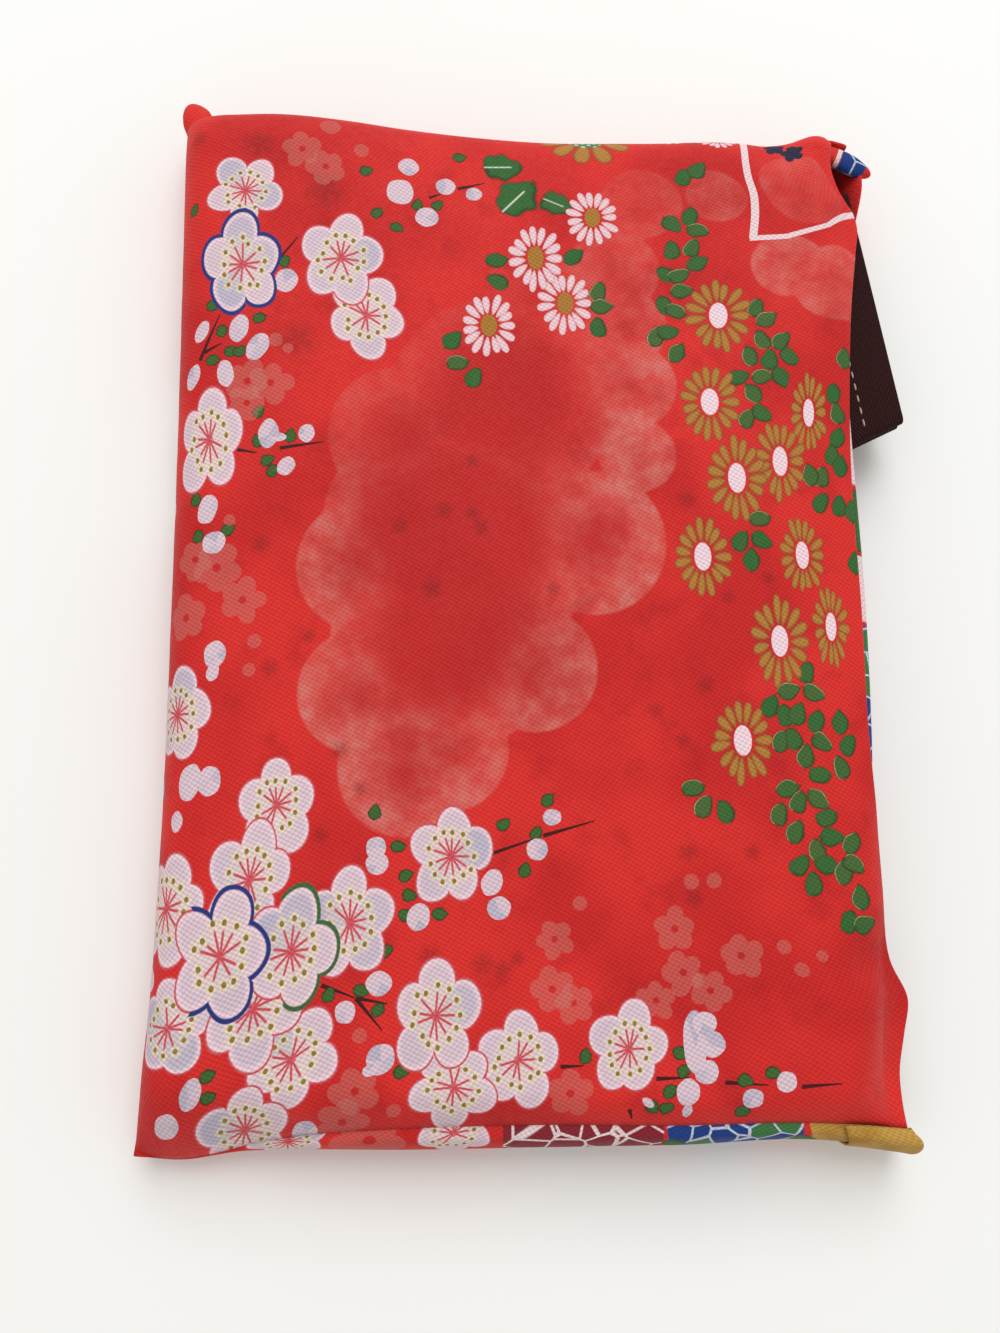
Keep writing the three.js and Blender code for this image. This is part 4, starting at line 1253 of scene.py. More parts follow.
def on_cloth(x, y):
    nearest = np.argmin(np.hypot(seen[:, 0] - x, seen[:, 1] - y))
    return fine_u.flat[nearest] + x - seen[nearest, 0], fine_v.flat[nearest] + y - seen[nearest, 1]


def stroke(kind, start, end, width):
    (x1, y1), (x2, y2) = start, end
    length = math.hypot(x2 - x1, y2 - y1)
    turn = math.degrees(math.atan2(y2 - y1, x2 - x1))
    return ("leaf", (x1 + x2) / 2, (y1 + y2) / 2, length, width, turn, kind)


print("places of the cloth that were tried:", len(seen))

# %% [markdown]
# With that, the lists become motifs of the front, the lowest first: smudges and faint blossoms, then rules
# and twigs, leaves, daisies, buds, and the open blossoms on top.

# %% Print the front
front_motifs = [("plum", *on_cloth(x, y), size, size, 0, SMUDGE) for x, y, size in smudges]
front_motifs += [("plum", *on_cloth(x, y), size, size, 20 * x, GHOST) for x, y, size in faint_blossoms]
front_motifs += [("plum", *on_cloth(x, y), size, size, 0, MIST_DOT) for x, y, size in faint_dots]
front_motifs += [stroke(RULE, on_cloth(*ends[:2]), on_cloth(*ends[2:]), width) for *ends, width in rules]
front_motifs += [stroke(TWIG, on_cloth(*ends[:2]), on_cloth(*ends[2:]), TWIG_WIDTH) for ends in twigs]
front_motifs += [("leaf", *on_cloth(x, y), *BUD_SCALE_SIZE, turn, BUD_SCALE) for x, y, turn in bud_scales]
front_motifs += [("leaf", *on_cloth(x, y), *LEAF_SIZE, turn, LEAF) for x, y, turn in leaves]
front_motifs += [("leaf", *on_cloth(x, y), *sizes, LARGE_LEAF) for x, y, *sizes in large_leaves]
front_motifs += [
    ("daisy", *on_cloth(x, y), width, length, 0, kind) for x, y, width, length, kind in daisies
]
front_motifs += [("plum", *on_cloth(x, y), *sizes, BUD) for x, y, *sizes in buds]
front_motifs += [("plum", *on_cloth(x, y), *sizes) for x, y, *sizes in blossoms]
front_motifs += [("plum", *on_cloth(x, y), size, size, 25, NAVY) for x, y, size in navy_flowers]
print_on(pouch_front, front_motifs, CROWDED)
cloud_on(pouch_front, [(*on_cloth(x, y), radius, pale) for x, y, radius, pale in cloud_discs])

# %% [markdown]
# The back panel lies on the table, rolls up to the left and top seams, and at the bottom wraps round the
# edge and up to the crease. The curve of that wrap is a few stops in the side view, spaced by their length
# along the cloth, so that the print isn't stretched where the cloth turns.

# %% Back panel
BACK_LEFT = -HALF_WIDTH + BACK_ROLL - BACK_ARC
BACK_TOP = HALF_LENGTH - BACK_ROLL + BACK_ARC
WIDEST_Y = -94.4
WIDEST_HEIGHT = 8.5
WRAP_END = -80.0
CORNER_LIFT = 11.5
wrap_side = np.array([
    (CREASE_Y, CREASE_HEIGHT), (-91.2, 14.6), (-93.2, 12.4), (WIDEST_Y, WIDEST_HEIGHT), (-94.1, 4.2),
    (-91.8, 1.1), (-87, 0.05), (WRAP_END, 0.0),
])
wrap_steps = np.hypot(*np.diff(wrap_side, axis=0).T)
wrap_at = WRAP_END - wrap_steps.sum() + np.concatenate([[0], np.cumsum(wrap_steps)])
BACK_START = wrap_at[0]
WIDEST_AT = wrap_at[3]


def wrap_place(column, at):
    wrap_y = smooth_path(list(zip(wrap_at, wrap_side[:, 0])), at)
    wrap_z = smooth_path(list(zip(wrap_at, wrap_side[:, 1])), at)
    crease_y = CREASE_Y + smooth_path(crease_edge, column)
    crease_z = smooth_path(crease_rise, column)
    edge_y = smooth_path(bottom_outline, column)
    edge_z = crease_z * WIDEST_HEIGHT / CREASE_HEIGHT
    out = (CREASE_Y - wrap_y) / (CREASE_Y - WIDEST_Y)
    up = (wrap_z - WIDEST_HEIGHT) / (CREASE_HEIGHT - WIDEST_HEIGHT)
    under = np.clip((WRAP_END - at) / (WRAP_END - WIDEST_AT), 0, 1)
    above = at < WIDEST_AT
    y = np.where(above, crease_y + out * (edge_y - crease_y), wrap_y + (edge_y - WIDEST_Y) * under)
    z = np.where(above, edge_z + up * (crease_z - edge_z), wrap_z * edge_z / WIDEST_HEIGHT)
    seam_y = crease_y + (at - BACK_START) / (WRAP_END - BACK_START) * (WRAP_END - crease_y)
    return y, z, seam_y


def back_place(u, v):
    across, lift_x = rolled(u - BACK_LEFT, back_roll)
    column, rise = hem_turn(across - HALF_WIDTH)
    down, lift_y = rolled(BACK_TOP - v, back_roll)
    wrap_y, wrap_z, seam_y = wrap_place(column, np.minimum(v, WRAP_END))
    wrapped = v < WRAP_END
    y = np.where(wrapped, seam_y + (wrap_y - seam_y) * lift_x, lengthwise(column, HALF_LENGTH - down, 0.0))
    x = sideways(column, y, back_mouth)
    z = np.where(wrapped, wrap_z, seam_height(column) * (1 - lift_y))
    z = SEAM_HEIGHT + (z - SEAM_HEIGHT) * lift_x
    drawn_up = CORNER_LIFT * ramp(y, 64, 86)
    z = z + np.maximum(drawn_up - z, 0) * ramp(x, 62, 69.5) * ramp(y, 62, 70)
    return x, y, np.maximum(z, 0.0) + rise


us = np.concatenate([
    np.linspace(BACK_LEFT, HALF_WIDTH - 0.6, 150),
    np.linspace(HALF_WIDTH, HEM_TURNED, 7),
    np.linspace(HEM_TURNED + 1.2, HEM_END, 7),
])
vs = np.concatenate([np.linspace(BACK_START, WRAP_END, 56), np.linspace(WRAP_END + 0.9, BACK_TOP, 180)])
pouch_back = grid_cloth("pouch_back", us, vs, back_place, back_print, flip=True, wall=POUCH_WALL)
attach(pouch_back, "pouch")
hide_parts("pouch_back_panel", "pouch_back_hem")

# %% [markdown]
# The print of the back and the tote isn't laid out motif by motif, because little of it is seen. It is
# another part of the same cloth, so the same motifs are scattered over it: one in each square of a grid,
# at a place, turn and size that chance gives. Patches are ovals.

# %% Helpers for a scattered print
def patches_on(piece, net, sea, gilt):
    flat = np.empty(len(piece.data.vertices) * 3)
    piece.data.attributes["cloth_mm"].data.foreach_get("vector", flat)
    u, v, _ = flat.reshape(-1, 3).T
    for name, ovals in (("net_mm", net), ("sea_mm", sea), ("gilt_mm", gilt)):
        depth = np.full(len(u), FAR_OUTSIDE)
        for x, y, half_x, half_y in ovals:
            depth = np.maximum(
                depth, (1 - np.hypot((u - x) / half_x, (v - y) / half_y)) * min(half_x, half_y)
            )
        piece.data.attributes.new(name, "FLOAT", "POINT").data.foreach_set("value", depth)


BACK_LEAF = (3.9, 3.5)


def scattered(seed, low, high, spacing):
    chance = np.random.default_rng(seed)
    motifs = []
    for x in np.arange(low[0], high[0], spacing):
        for y in np.arange(low[1], high[1], spacing):
            px, py = x + chance.uniform(0, spacing), y + chance.uniform(0, spacing)
            turn, size, pick = chance.uniform(0, 360), chance.uniform(13, 17), chance.uniform()
            if pick < 0.5:
                kind = chance.choice([PLAIN, PLAIN, PLAIN, BLUE_LINE, GREEN_PART])
                motifs.append(("plum", px, py, size, size, turn, int(kind)))
                motifs.append(("plum", px + 9, py + 4, 4.4, 4.8, turn, BUD))
                motifs.append(("leaf", px + 11, py + 2, *BUD_SCALE_SIZE, turn, BUD_SCALE))
            elif pick < 0.75:
                kind = PALE_DAISY if pick < 0.6 else GOLD_DAISY
                motifs.append(("daisy", px, py, size * 0.8, size * 0.95, 0, kind))
                motifs.append(("leaf", px + 8, py - 5, *BACK_LEAF, turn, LEAF))
                motifs.append(("leaf", px + 9, py - 1, *BACK_LEAF, turn + 70, LEAF))
            else:
                motifs.append(("plum", px, py, 9, 9, turn, GHOST))
    return motifs


print("leaves of a scattered print:", BACK_LEAF, "mm")

# %% [markdown]
# The back gets such a print. Its corner at the mouth stays plain, and the motifs and patches that show along
# the bottom edge have places of their own.

# %% Print the back
PLAIN_CORNER = (42, 50)
EDGE_BLOSSOM = 13

back_motifs = scattered(21, (-66, -92), (62, 98), 17)
back_motifs = [motif for motif in back_motifs if motif[1] < PLAIN_CORNER[0] or motif[2] < PLAIN_CORNER[1]]
back_motifs += [("plum", -24, BACK_START + 2, EDGE_BLOSSOM, EDGE_BLOSSOM, 20, GHOST)]
back_motifs += [
    ("plum", x, BACK_START + 1, EDGE_BLOSSOM, EDGE_BLOSSOM, turn, PLAIN)
    for x, turn in ((-37, 40), (-10.5, 20))
]
back_motifs += [("leaf", x, BACK_START + 5, 5, 3.6, 40, LEAF) for x in (25.5, 46)]
print_on(pouch_back, back_motifs)
patches_on(
    pouch_back,
    net=[(10.5, BACK_START, 13, 26), (-30, 60, 20, 16)],
    sea=[(35, BACK_START - 1, 11, 18), (30, 62, 16, 20)],
    gilt=[(60.5, BACK_START, 13.5, 24), (-20, -40, 14, 10)],
)

# %% [markdown]
# Where a sewn bag is turned right side out, the seam allowance bunches up in its corners. At the top left
# it makes a small round knob, and at the mouth the end of the top seam rolls into a short ear, on which
# other colours of the print show. A ball would look like a bead, so an ear is a strip of cloth rolled round
# an axis, pleated a little and closed at its tip.

# %% Corner ears
EAR_TURNS = np.linspace(0, 2 * np.pi, 25)
EAR_STEPS = 1 - (1 - np.linspace(0, 1, 22)) ** 1.6


def add_ear(name, root, tip, half_width, half_height, neck):
    root, axis = Vector(root), Vector(tip) - Vector(root)
    side = axis.cross(Vector((0, 0, 1))).normalized()
    rise = side.cross(axis).normalized()
    radius = (half_width + half_height) / 2

    def place(u, v):
        turn, share = u / radius, v / axis.length
        swell = np.sqrt(np.clip(1 - share ** 3.5, 0, 1)) * (neck + (1 - neck) * ramp(share, 0, 0.6))
        pleat = 1 - 0.1 * np.cos(3 * turn + 4 * share) * swell
        out, up = half_width * swell * pleat * np.cos(turn), half_height * swell * pleat * np.sin(turn)
        return [root[i] + axis[i] * share + side[i] * out + rise[i] * up for i in range(3)]

    ear = grid_cloth(name, EAR_TURNS * radius, EAR_STEPS * axis.length, place, back_print, flip=True)
    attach(ear, "pouch")
    return ear, radius * np.pi


def close_seam(piece):
    bm = bmesh.new()
    bm.from_mesh(piece.data)
    bmesh.ops.remove_doubles(bm, verts=bm.verts, dist=0.01 * MM)
    bm.to_mesh(piece.data)
    bm.free()


mouth_ear, girth = add_ear("pouch_mouth_ear", (60.4, 90.0, 12.4), (71.3, 85.7, 11.3), 2.0, 1.8, 0.8)
corner_ear, _ = add_ear("pouch_corner_ear", (-57.9, 89.8, 10.4), (-60.7, 97.0, 9.4), 2.9, 2.6, 0.9)
print_on(mouth_ear, [stroke(RULE, (0, 4.2), (2 * girth, 4.2), 0.9)])
patches_on(mouth_ear, net=[], sea=[(girth, 7.4, 3 * girth, 2.7)], gilt=[])
print_on(corner_ear, [])
patches_on(corner_ear, net=[], sea=[], gilt=[])
for ear in (mouth_ear, corner_ear):
    close_seam(ear)

# %% [markdown]
# The tote inside is a square bag of thin printed cloth: two panels, folded in thirds across and then in
# half lengthwise. A block would do while it is packed, but its layers show in the mouth and when it is
# pulled out. So the same folding as in the solid model places each point of the flat cloth. The stack is a
# little slack, each fold ends at a slightly different place, and it slumps at its edges.

# %% Folding the tote
STACK_BASE = 1.35
STACK_LEFT = -51.75
STACK_FAR = 84.5
ACROSS_RADIUS = 0.75
ACROSS_RUN = 113.0
ACROSS_RUNS = 3
ACROSS_END = 1.35
ALONG_RADIUS = 5.8
ALONG_RUN = 161.1
ALONG_RUNS = 2
THIRDS_THICKNESS = 4.2
CLOTH_WIDTH = ACROSS_RUNS * ACROSS_RUN + (ACROSS_RUNS - 1) * math.pi * ACROSS_RADIUS
CLOTH_LENGTH = ALONG_RUNS * ALONG_RUN + (ALONG_RUNS - 1) * math.pi * ALONG_RADIUS
TOTE_CLOTH = 0.3
TAIL_SLACK = 2.6
STACK_SLUMP, STACK_HEIGHT = 0.15, 17


def to_and_fro(distance, offset, run, radius, runs):
    stride = run + math.pi * radius
    leg = np.clip(np.floor(distance / stride), 0, runs - 1)
    into = distance - leg * stride
    heading = np.where(leg % 2 == 0, 1.0, -1.0)
    level = leg * 2 * radius
    straight = (into <= run) | (leg == runs - 1)
    angle = np.where(straight, 0, (into - run) / radius)
    reach = (radius - heading * offset) * np.sin(angle)
    along = np.where(
        straight, np.where(heading > 0, into, run - into), np.where(heading > 0, run + reach, -reach)
    )
    turn_up = radius - (radius - heading * offset) * np.cos(angle)
    return along, level + np.where(straight, heading * offset, turn_up)


def tote_place(u, v, w):
    along_u, up_u = to_and_fro(u, w, ACROSS_RUN, ACROSS_RADIUS, ACROSS_RUNS)
    middle = (ACROSS_RUNS - 1) * ACROSS_RADIUS
    along_v, up_v = to_and_fro(v, up_u - middle, ALONG_RUN, ALONG_RADIUS, ALONG_RUNS)
    x = STACK_LEFT + ACROSS_END + along_u
    y = STACK_FAR - along_v
    z = STACK_BASE + THIRDS_THICKNESS / 2 + up_v
    uneven = 0.5 * np.sin(v / 31) + 0.3 * np.sin(v / 13 + 1) - 0.6 - 2.4 * ramp(y, 66, 80)
    x = x + uneven * ramp(x, 30, 64) + TAIL_SLACK * ramp(x, -32, -52)
    z = z - (mouth_sag(x) + overhang(x, y) + hills(x, y, DENTS) + STACK_SLUMP) * z / STACK_HEIGHT
    return x, y, z


def fold_lines(low, high, run, radius, runs, step, bend_steps):
    stride = run + math.pi * radius
    lines = []
    for leg in range(runs):
        begin, end = leg * stride, leg * stride + run
        lines += list(np.linspace(begin, end, int(run / step) + 1))
        if leg < runs - 1:
            lines += list(np.linspace(end, end + math.pi * radius, bend_steps + 1)[1:-1])
    lines = np.array(lines)
    return np.unique(np.concatenate([[low], lines[(lines > low) & (lines < high)], [high]]))


print("the flat cloth of the tote is", round(CLOTH_WIDTH, 1), "x", round(CLOTH_LENGTH, 1), "mm")

# %% [markdown]
# Front and back of the tote lie on each other and are folded together, each a little off the middle of the
# pair. The fold that shows in the mouth gets its own part of the print: blue, a leaf and pale rules.

# %% Panels of the tote
MOUTH_FOLD = ACROSS_RUN + math.pi * ACROSS_RADIUS / 2
PAIR_OFFSET = 0.42
CUT_EDGE = 1.2
PLAIN_END = 34
STRIP_LOW, STRIP_HIGH = 215, 305
STRIP_RULES = ((251.5, 264), (277, 299))

tote_us = fold_lines(CUT_EDGE, CLOTH_WIDTH - CUT_EDGE, ACROSS_RUN, ACROSS_RADIUS, ACROSS_RUNS, 2.6, 8)
tote_vs = fold_lines(CUT_EDGE, CLOTH_LENGTH, ALONG_RUN, ALONG_RADIUS, ALONG_RUNS, 2.6, 16)
for side, offset in (("front", PAIR_OFFSET), ("back", -PAIR_OFFSET)):
    def panel_place(u, v, offset=offset):
        return tote_place(u, v, np.full_like(u, offset))

    panel = grid_cloth(
        f"tote_{side}", tote_us, tote_vs, panel_place, tote_print, flip=side == "back", wall=TOTE_CLOTH
    )
    panel.modifiers["wall"].offset = 0.0
    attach(panel, "tote")
    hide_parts(f"tote_{side}_panel", f"tote_{side}_top_hem")
    motifs = scattered(31 if side == "front" else 47, (0, 0), (CLOTH_WIDTH, CLOTH_LENGTH), 19)
    motifs = [motif for motif in motifs if PLAIN_END < motif[2] < CLOTH_LENGTH - PLAIN_END]
    motifs = [
        motif for motif in motifs
        if abs(motif[1] - MOUTH_FOLD) > 14 or not STRIP_LOW < motif[2] < STRIP_HIGH
    ]
    motifs += [stroke(RULE, (MOUTH_FOLD, low), (MOUTH_FOLD, high), 9) for low, high in STRIP_RULES]
    motifs += [("leaf", MOUTH_FOLD, 270.5, 12, 7, 90, LEAF)]
    print_on(panel, motifs)
    patches_on(
        panel,
        net=[(60, 60, 22, 30), (240, 200, 26, 20), (113, 30, 9, 18)],
        sea=[(150, 120, 22, 16), (300, 60, 20, 24), (MOUTH_FOLD, 238, 6, 13)],
        gilt=[(80, 240, 20, 18), (280, 300, 22, 16), (229, 130, 9, 20)],
    )

# %% [markdown]
# The seams of the tote are bound with a narrow woven tape, folded over the raw edges. A bevelled curve could
# make it, but it would have to be bent to every fold. Each binding is a half round laid over the flat edge,
# and it is folded with the cloth. Tape and sewing thread get their colours here too.

# %% Seam bindings of the tote
BINDING_WIDTH = 2.4
BINDING_HALF = 0.62
BINDING_WALL = 0.12
FIBRE_SIZE = 0.35


# Polyester tape and thread: fine slanting ribs of spun fibres, dull, with a slight sheen.
def thread_material(name, dark, light, rib, sheen):
    material = bpy.data.materials.new(name)
    material.use_nodes = True
    tree = material.node_tree
    shader = tree.nodes["Principled BSDF"]
    at = add(tree, "TexCoord", out=3)
    in_mm = add(tree, "VectorMath", [at, (1 / MM, 1 / MM, 1 / MM)], operation="MULTIPLY")
    tilted = add(tree, "Mapping", {0: in_mm, 2: (0.5, 0.4, 0.7)})
    twist = add(tree, "TexWave", {0: tilted, 1: 0.5 / rib, 2: 1.2, 3: 2.0}, out=1)
    fibre = add(tree, "TexNoise", {0: in_mm, 2: 1 / FIBRE_SIZE, 3: 3.0})
    mixed = add(tree, "Math", [twist, fibre], operation="MULTIPLY")
    # Painted highlight and shade: the ridges of the twist are painted lighter and its grooves darker, mixed
    # with fibre noise.
    tone = add(tree, "Mix", {0: mixed, 6: linear(dark), 7: linear(light)}, **BLEND)
    bump = add(tree, "Bump", {"Strength": 0.4, "Distance": 0.0001, "Height": twist})
    tree.links.new(tone, shader.inputs["Base Color"])
    tree.links.new(bump, shader.inputs["Normal"])
    shader.inputs["Roughness"].default_value = 0.62
    shader.inputs["Sheen Weight"].default_value = sheen
    return material


binding_tape = thread_material("polyester_binding_tape", "#8C1D22", "#C5373A", 0.5, 0.2)
red_thread = thread_material("spun_polyester_thread_red", "#A8242A", "#DB4A4A", 0.3, 0.15)
pale_thread = thread_material("spun_polyester_thread_pale", "#A98C7E", "#E6D6CA", 0.3, 0.15)

around = np.radians(np.linspace(-90, 90, 9))


def side_binding(edge, inward):
    def place(u, v):
        return tote_place(
            edge + inward * BINDING_WIDTH * (1 - np.cos(u)), v, BINDING_HALF * np.sin(u) * inward
        )
    return place


def bottom_binding(u, v):
    return tote_place(v, BINDING_WIDTH * (1 - np.cos(u)), -BINDING_HALF * np.sin(u))


bindings = {
    "left": (side_binding(0.0, 1), tote_vs),
    "right": (side_binding(CLOTH_WIDTH, -1), tote_vs),
    "bottom": (bottom_binding, tote_us),
}
for side, (place, lines) in bindings.items():
    binding = grid_cloth(f"tote_{side}_binding", around, lines, place, binding_tape, wall=BINDING_WALL)
    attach(binding, "tote")
    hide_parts(f"tote_{side}_seam_binding")

# %% [markdown]
# Stitches could be painted on, but real ones stand up from the cloth. A row of them is the same small shape
# many times, so one stitch has only a few faces: a low sphere, drawn out along the seam. The function walks
# along a line of points, one stitch after the other.

# %% Helper for stitches
def stitch_row(name, points, stitch, gap, thick, material, body, slot, *nodes):
    points = np.asarray(points, float)
    steps = np.linalg.norm(np.diff(points, axis=0), axis=1)
    walked = np.concatenate([[0], np.cumsum(steps)])
    starts = np.arange(gap / 2, walked[-1] - stitch, stitch + gap)
    bm = bmesh.new()
    for start in starts:
        a, b = (
            Vector([np.interp(d, walked, points[:, i]) for i in range(3)]) for d in (start, start + stitch)
        )
        aim = (b - a).to_track_quat("Z", "Y").to_matrix().to_4x4()
        drawn_out = Matrix.Diagonal((thick * MM, thick * MM, stitch / 2 * MM, 1))
        place = Matrix.Translation((a + b) / 2 * MM) @ aim @ drawn_out
        bmesh.ops.create_uvsphere(bm, u_segments=6, v_segments=4, radius=1.0, matrix=place)
    mesh = bpy.data.meshes.new(name)
    bm.to_mesh(mesh)
    bm.free()
    mesh.shade_smooth()
    mesh.materials.append(material)
    row = bpy.data.objects.new(name, mesh)
    scene.collection.objects.link(row)
    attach(row, body)
    if nodes:
        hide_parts(*nodes)
    print(name, "has", len(starts), "stitches")
    return row


def along_tote(us, vs):
    return np.stack(tote_place(np.asarray(us, float), np.asarray(vs, float), np.zeros(len(us))), axis=1)


STITCH, STITCH_GAP = 2.6, 0.5
TOTE_THREAD, SEAM_THREAD, HEM_THREAD = 0.16, 0.3, 0.12
THREAD_INSET = 8.0
HEM_STITCH = CLOTH_LENGTH - 14.8
every_v = np.arange(THREAD_INSET, CLOTH_LENGTH - 16, 0.8)
every_u = np.arange(THREAD_INSET + 1, CLOTH_WIDTH - THREAD_INSET - 1, 0.4)
tote_rows = {
    "tote_left_seam": (np.full_like(every_v, THREAD_INSET), every_v, "tote_left_seam_thread"),
    "tote_right_seam": (
        np.full_like(every_v, CLOTH_WIDTH - THREAD_INSET), every_v, "tote_right_seam_thread"
    ),
    "tote_bottom_seam": (every_u, np.full_like(every_u, THREAD_INSET), "tote_bottom_seam_thread"),
    "tote_front_hem": (every_u, np.full_like(every_u, HEM_STITCH), "tote_front_hem_thread"),
    "tote_back_hem": (every_u, np.full_like(every_u, HEM_STITCH + 1.2), "tote_back_hem_thread"),
}
for name, (us, vs, node) in tote_rows.items():
    stitch_row(
        f"{name}_stitches", along_tote(us, vs), STITCH, STITCH_GAP, TOTE_THREAD, red_thread, "tote",
        "seam_thread", node,
    )

# %% [markdown]
# Inside the pouch, one row of stitches runs round the three sewn sides, and a row holds each mouth hem.

# %% Stitches of the pouch
seam_run = np.arange(HALF_WIDTH - 11, -HALF_WIDTH + 2.5, -0.8)
side_run = np.arange(CREASE_Y + 2, HALF_LENGTH - 2, 0.8)


def seam_points(columns, rows, heights):
    y = lengthwise(columns, rows, 1.0)
    return np.stack([sideways(columns, y, front_mouth), y, heights], axis=1)


SEAM_INSET = 1.7
seam_line = np.concatenate([
    seam_points(
        seam_run, np.full_like(seam_run, CREASE_Y + SEAM_INSET), smooth_path(crease_rise, seam_run) - 1.0
    ),
    seam_points(
        np.full_like(side_run, -HALF_WIDTH + SEAM_INSET), side_run, np.full_like(side_run, SEAM_HEIGHT)
    ),
    seam_points(
        seam_run[::-1], np.full_like(seam_run, HALF_LENGTH - SEAM_INSET), seam_height(seam_run[::-1])
    ),
])
seam_stitches = stitch_row(
    "pouch_seam_stitches", seam_line, STITCH, STITCH_GAP, SEAM_THREAD, red_thread, "pouch", "seam_thread",
    "pouch_seam_thread"
)
HEM_ROW_END, HEM_ROW_INSET = 80, 8.5
hem_run = np.arange(-HEM_ROW_END, HEM_ROW_END, 0.8)
hem_at = np.full_like(hem_run, HALF_WIDTH - HEM_ROW_INSET)
front_x, front_y, front_z = front_place(hem_at, hem_run)
front_hem_line = np.stack([front_x, front_y, front_z - 2 * HEM_BEND - POUCH_WALL], axis=1)
back_x, back_y, back_z = back_place(hem_at, hem_run)
back_hem_line = np.stack([back_x, back_y, back_z + 2 * HEM_BEND + POUCH_WALL], axis=1)
front_hem_stitches = stitch_row(
    "pouch_front_hem_stitches", front_hem_line, STITCH, STITCH_GAP, HEM_THREAD, red_thread, "pouch",
    "seam_thread", "pouch_front_hem_thread"
)
back_hem_stitches = stitch_row(
    "pouch_back_hem_stitches", back_hem_line, STITCH, STITCH_GAP, HEM_THREAD, red_thread, "pouch",
    "seam_thread", "pouch_back_hem_thread"
)

# %% [markdown]
# The handles are dark brown webbing, woven in a herringbone. Its ribs slant one way and then the other, in
# bands across the strap. A wave along a line that is folded back at each band gives that, with ribs one
# millimetre apart.

# %% Webbing
RIB_PITCH = 1.0
BAND_WIDTH = 8.0
YARN_FIBRE, WORN_SPOTS = 0.6, 9


# Polypropylene webbing: a dense herringbone of thick, dull yarns, so it is dark with fine slanting ribs.
def webbing_material(name, herringbone):
    material = bpy.data.materials.new(name)
    material.use_nodes = True
    tree = material.node_tree
    yarn = tree.nodes["Principled BSDF"]
    flat = add(tree, "Attribute", out=1, attribute_name="cloth_mm")
    along = add(tree, "SeparateXYZ", [flat])
    across = along.node.outputs[1]
    folded = add(tree, "Math", [across, BAND_WIDTH], operation="PINGPONG")
    slant = add(tree, "Math", [folded, 1.5, along], operation="MULTIPLY_ADD") if herringbone else across
    phase = add(tree, "Math", [slant, 2 * math.pi / RIB_PITCH], operation="MULTIPLY")
    rib = add(
        tree, "Math", [add(tree, "Math", [phase], operation="SINE"), 0.5, 0.5], operation="MULTIPLY_ADD"
    )
    fibre = add(tree, "TexNoise", {0: flat, 2: 1 / YARN_FIBRE, 3: 3.0})
    worn = add(tree, "TexNoise", {0: flat, 2: 1 / WORN_SPOTS, 3: 2.0})
    # Painted highlight and shade: rib crests are painted lighter and the valleys darker, mixed with fibre
    # noise for the yarn's own uneven tone.
    lit = add(tree, "Math", [rib, fibre], operation="MULTIPLY")
    dull = add(tree, "MapRange", [worn, 0.4, 0.7, 0.0, 0.3])
    tone = add(tree, "Mix", {0: lit, 6: linear("#160607"), 7: linear("#4C211F")}, **BLEND)
    tone = add(tree, "Mix", {0: dull, 6: tone, 7: linear("#2A1012")}, **BLEND)
    relief = add(tree, "Math", [rib, 0.8, fibre], operation="MULTIPLY_ADD")
    bump = add(tree, "Bump", {"Strength": 0.5, "Distance": 0.0002, "Height": relief})
    tree.links.new(tone, yarn.inputs["Base Color"])
    tree.links.new(bump, yarn.inputs["Normal"])
    yarn.inputs["Roughness"].default_value = 0.85
    yarn.inputs["Specular IOR Level"].default_value = 0.15
    return material


webbing = webbing_material("woven_polypropylene_webbing", herringbone=True)
ribbed_tape = webbing_material("woven_polypropylene_tape", herringbone=False)
print("materials of the handles:", webbing.name, "and", ribbed_tape.name)

# %% [markdown]
# Each handle is folded to and fro and tucked between the two halves of the folded cloth. The front one leans
# out of the mouth, so its upper fold shows. Webbing is flat and firm, so it is modelled directly: the folded
# line of its middle, given its thickness and soft edges, with a row of stitches along it.

# %% Folding a handle
WEBBING_WIDTH = 24.0
WEBBING_WALL = 1.05
WEBBING_EDGE = 0.35
HANDLE_RUN = 46.0
HANDLE_RUNS = 5
HANDLE_RADIUS = 0.65
HANDLE_BASE = 6.4
HANDLE_STITCH, HANDLE_GAP, HANDLE_THREAD = 1.5, 0.9, 0.2
STITCH_INSET, STITCH_POINTS = 7.8, 60
WEBBING_LENGTH = HANDLE_RUNS * HANDLE_RUN + (HANDLE_RUNS - 1) * math.pi * HANDLE_RADIUS


def handle_ground(foot_x, foot_y, turn, slope):
    angle = math.radians(turn)

    def lay(inset, along, height):
        along = along - slope * inset * (1 - along / HANDLE_RUN)
        x = foot_x - along * math.sin(angle) - inset * math.cos(angle)
        y = foot_y + along * math.cos(angle) - inset * math.sin(angle)
        return x, y, height

    return lay


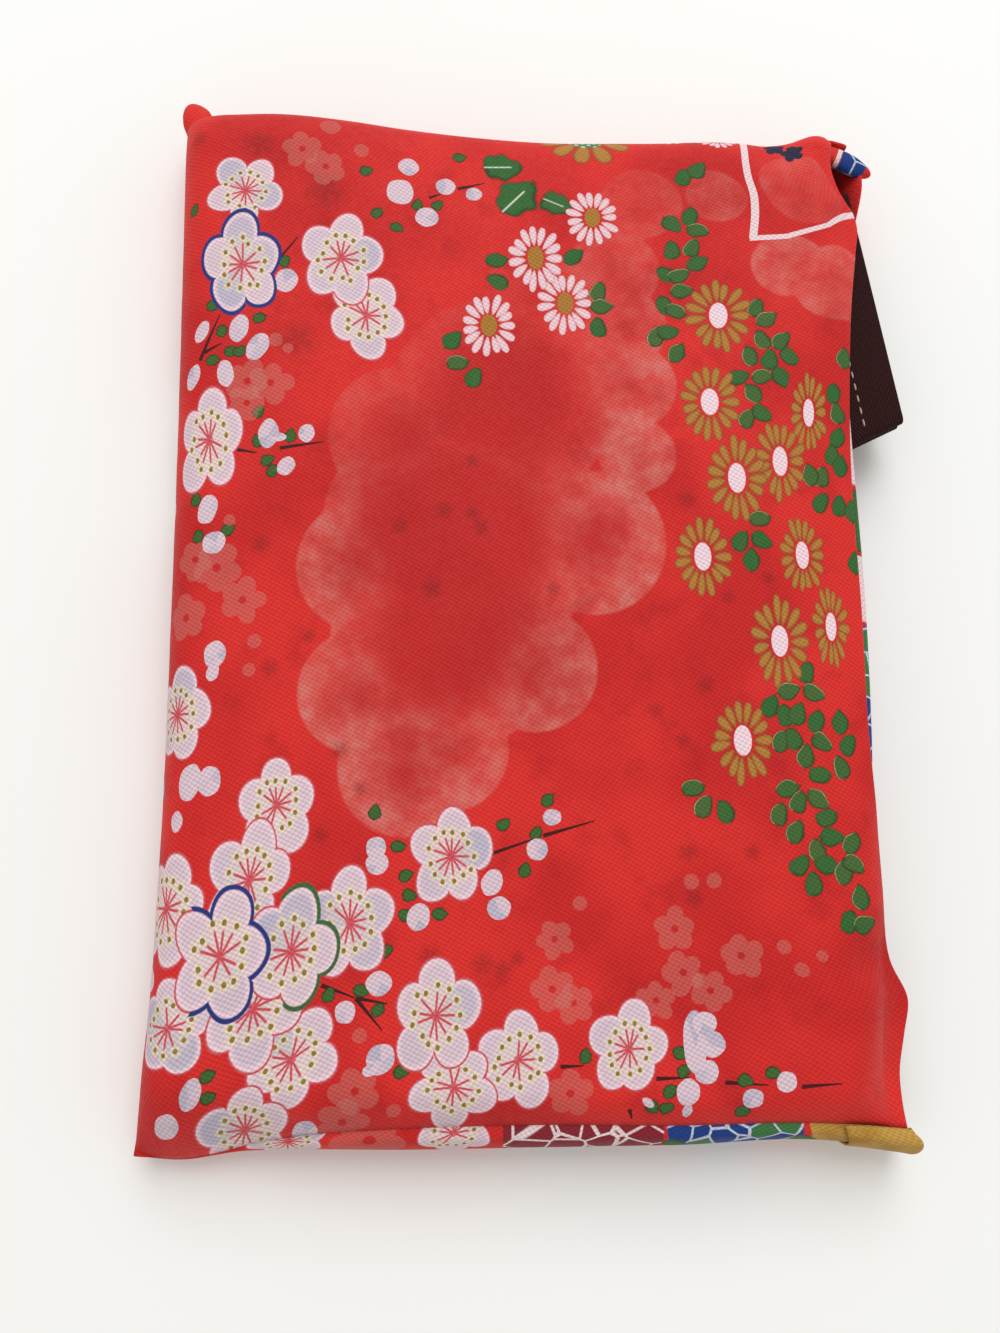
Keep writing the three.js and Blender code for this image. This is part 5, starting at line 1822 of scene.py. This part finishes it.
def add_handle(name, lay, body):
    def place(u, v):
        along, up = to_and_fro(u, 0.0, HANDLE_RUN, HANDLE_RADIUS, HANDLE_RUNS)
        return lay(v, along, HANDLE_BASE + up)

    lines = fold_lines(0.0, WEBBING_LENGTH, HANDLE_RUN, HANDLE_RADIUS, HANDLE_RUNS, 1.6, 6)
    inner = np.linspace(1.2, WEBBING_WIDTH - 1.2, 16)
    insets = np.concatenate([[0.0, WEBBING_EDGE], inner, [WEBBING_WIDTH - WEBBING_EDGE, WEBBING_WIDTH]])
    strap = grid_cloth(name, lines, insets, place, webbing, wall=WEBBING_WALL)
    strap.modifiers["wall"].offset = 0.0
    soft = strap.modifiers.new("soft_edges", "BEVEL")
    soft.width = 0.25 * MM
    soft.segments = 2
    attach(strap, body)
    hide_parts(name.replace("_strap", ""))
    top = HANDLE_BASE + (HANDLE_RUNS - 1) * 2 * HANDLE_RADIUS + WEBBING_WALL / 2
    along = np.linspace(0.8, HANDLE_RUN - 0.8, STITCH_POINTS)
    inset, height = np.full(STITCH_POINTS, STITCH_INSET), np.full(STITCH_POINTS, top + 0.05)
    row = np.stack(lay(inset, along, height), axis=1)
    node = name.replace("_strap", "_edge_thread")
    stitch_row(
        f"{name}_stitches", row, HANDLE_STITCH, HANDLE_GAP, HANDLE_THREAD, pale_thread, body,
        "handle_thread", node,
    )
    return strap


print("webbing of one folded handle:", round(WEBBING_LENGTH, 1), "mm")

# %% [markdown]
# The front handle stands 12.5 mm out of the mouth, turned a little, and its lower folds run at a slant. The
# back handle lies straight, out of sight.

# %% Two handles
FOOT_Y = 35.0
front_ground = handle_ground(HALF_WIDTH + 12.5, FOOT_Y + 1.0, 10.0, 0.28)
back_ground = handle_ground(HALF_WIDTH - 24.0, FOOT_Y, 0.0, 0.0)
front_strap = add_handle("front_handle_strap", front_ground, "front_handle")
back_strap = add_handle("back_handle_strap", back_ground, "tote")

# %% [markdown]
# The end of the front handle is sewn to the tote, deep between its folds. When the handle is pulled, this
# end is drawn out after it. Its ribs run lengthwise, because such ribs look the same however far the end
# is drawn out.

# %% Sewn end of the front handle
END_LENGTH = 9.0
END_START = 38.5
END_FROM, END_TO = 12.0, 33.5


def sewn_end_place(u, v):
    along = END_FROM + v / WEBBING_WIDTH * (END_TO - END_FROM)
    edge_x, edge_y, height = front_ground(WEBBING_WIDTH - 0.3, along, HANDLE_BASE + 0 * u)
    return END_START + (edge_x - END_START) * u / END_LENGTH, edge_y, height


end_us = np.linspace(0, END_LENGTH, 25)
end_vs = np.linspace(0, WEBBING_WIDTH, 13)
sewn_end = grid_cloth(
    "front_handle_sewn_end", end_us, end_vs, sewn_end_place, ribbed_tape, wall=WEBBING_WALL
)
sewn_end.modifiers["wall"].offset = 0.0
middle_y = (front_ground(WEBBING_WIDTH, END_FROM, 0)[1] + front_ground(WEBBING_WIDTH, END_TO, 0)[1]) / 2
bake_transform(sewn_end)

# %% [markdown]
# When the tote is pulled out, nothing holds the pouch up any more, and its cloth sinks flat on the table.
# Here each piece of the pouch gets a mesh of its own.

# %% The emptied pouch
pouch_pieces = [pouch_front, pouch_back, mouth_ear, corner_ear]
pouch_pieces += [seam_stitches, front_hem_stitches, back_hem_stitches]
for piece in pouch_pieces:
    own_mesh(piece)
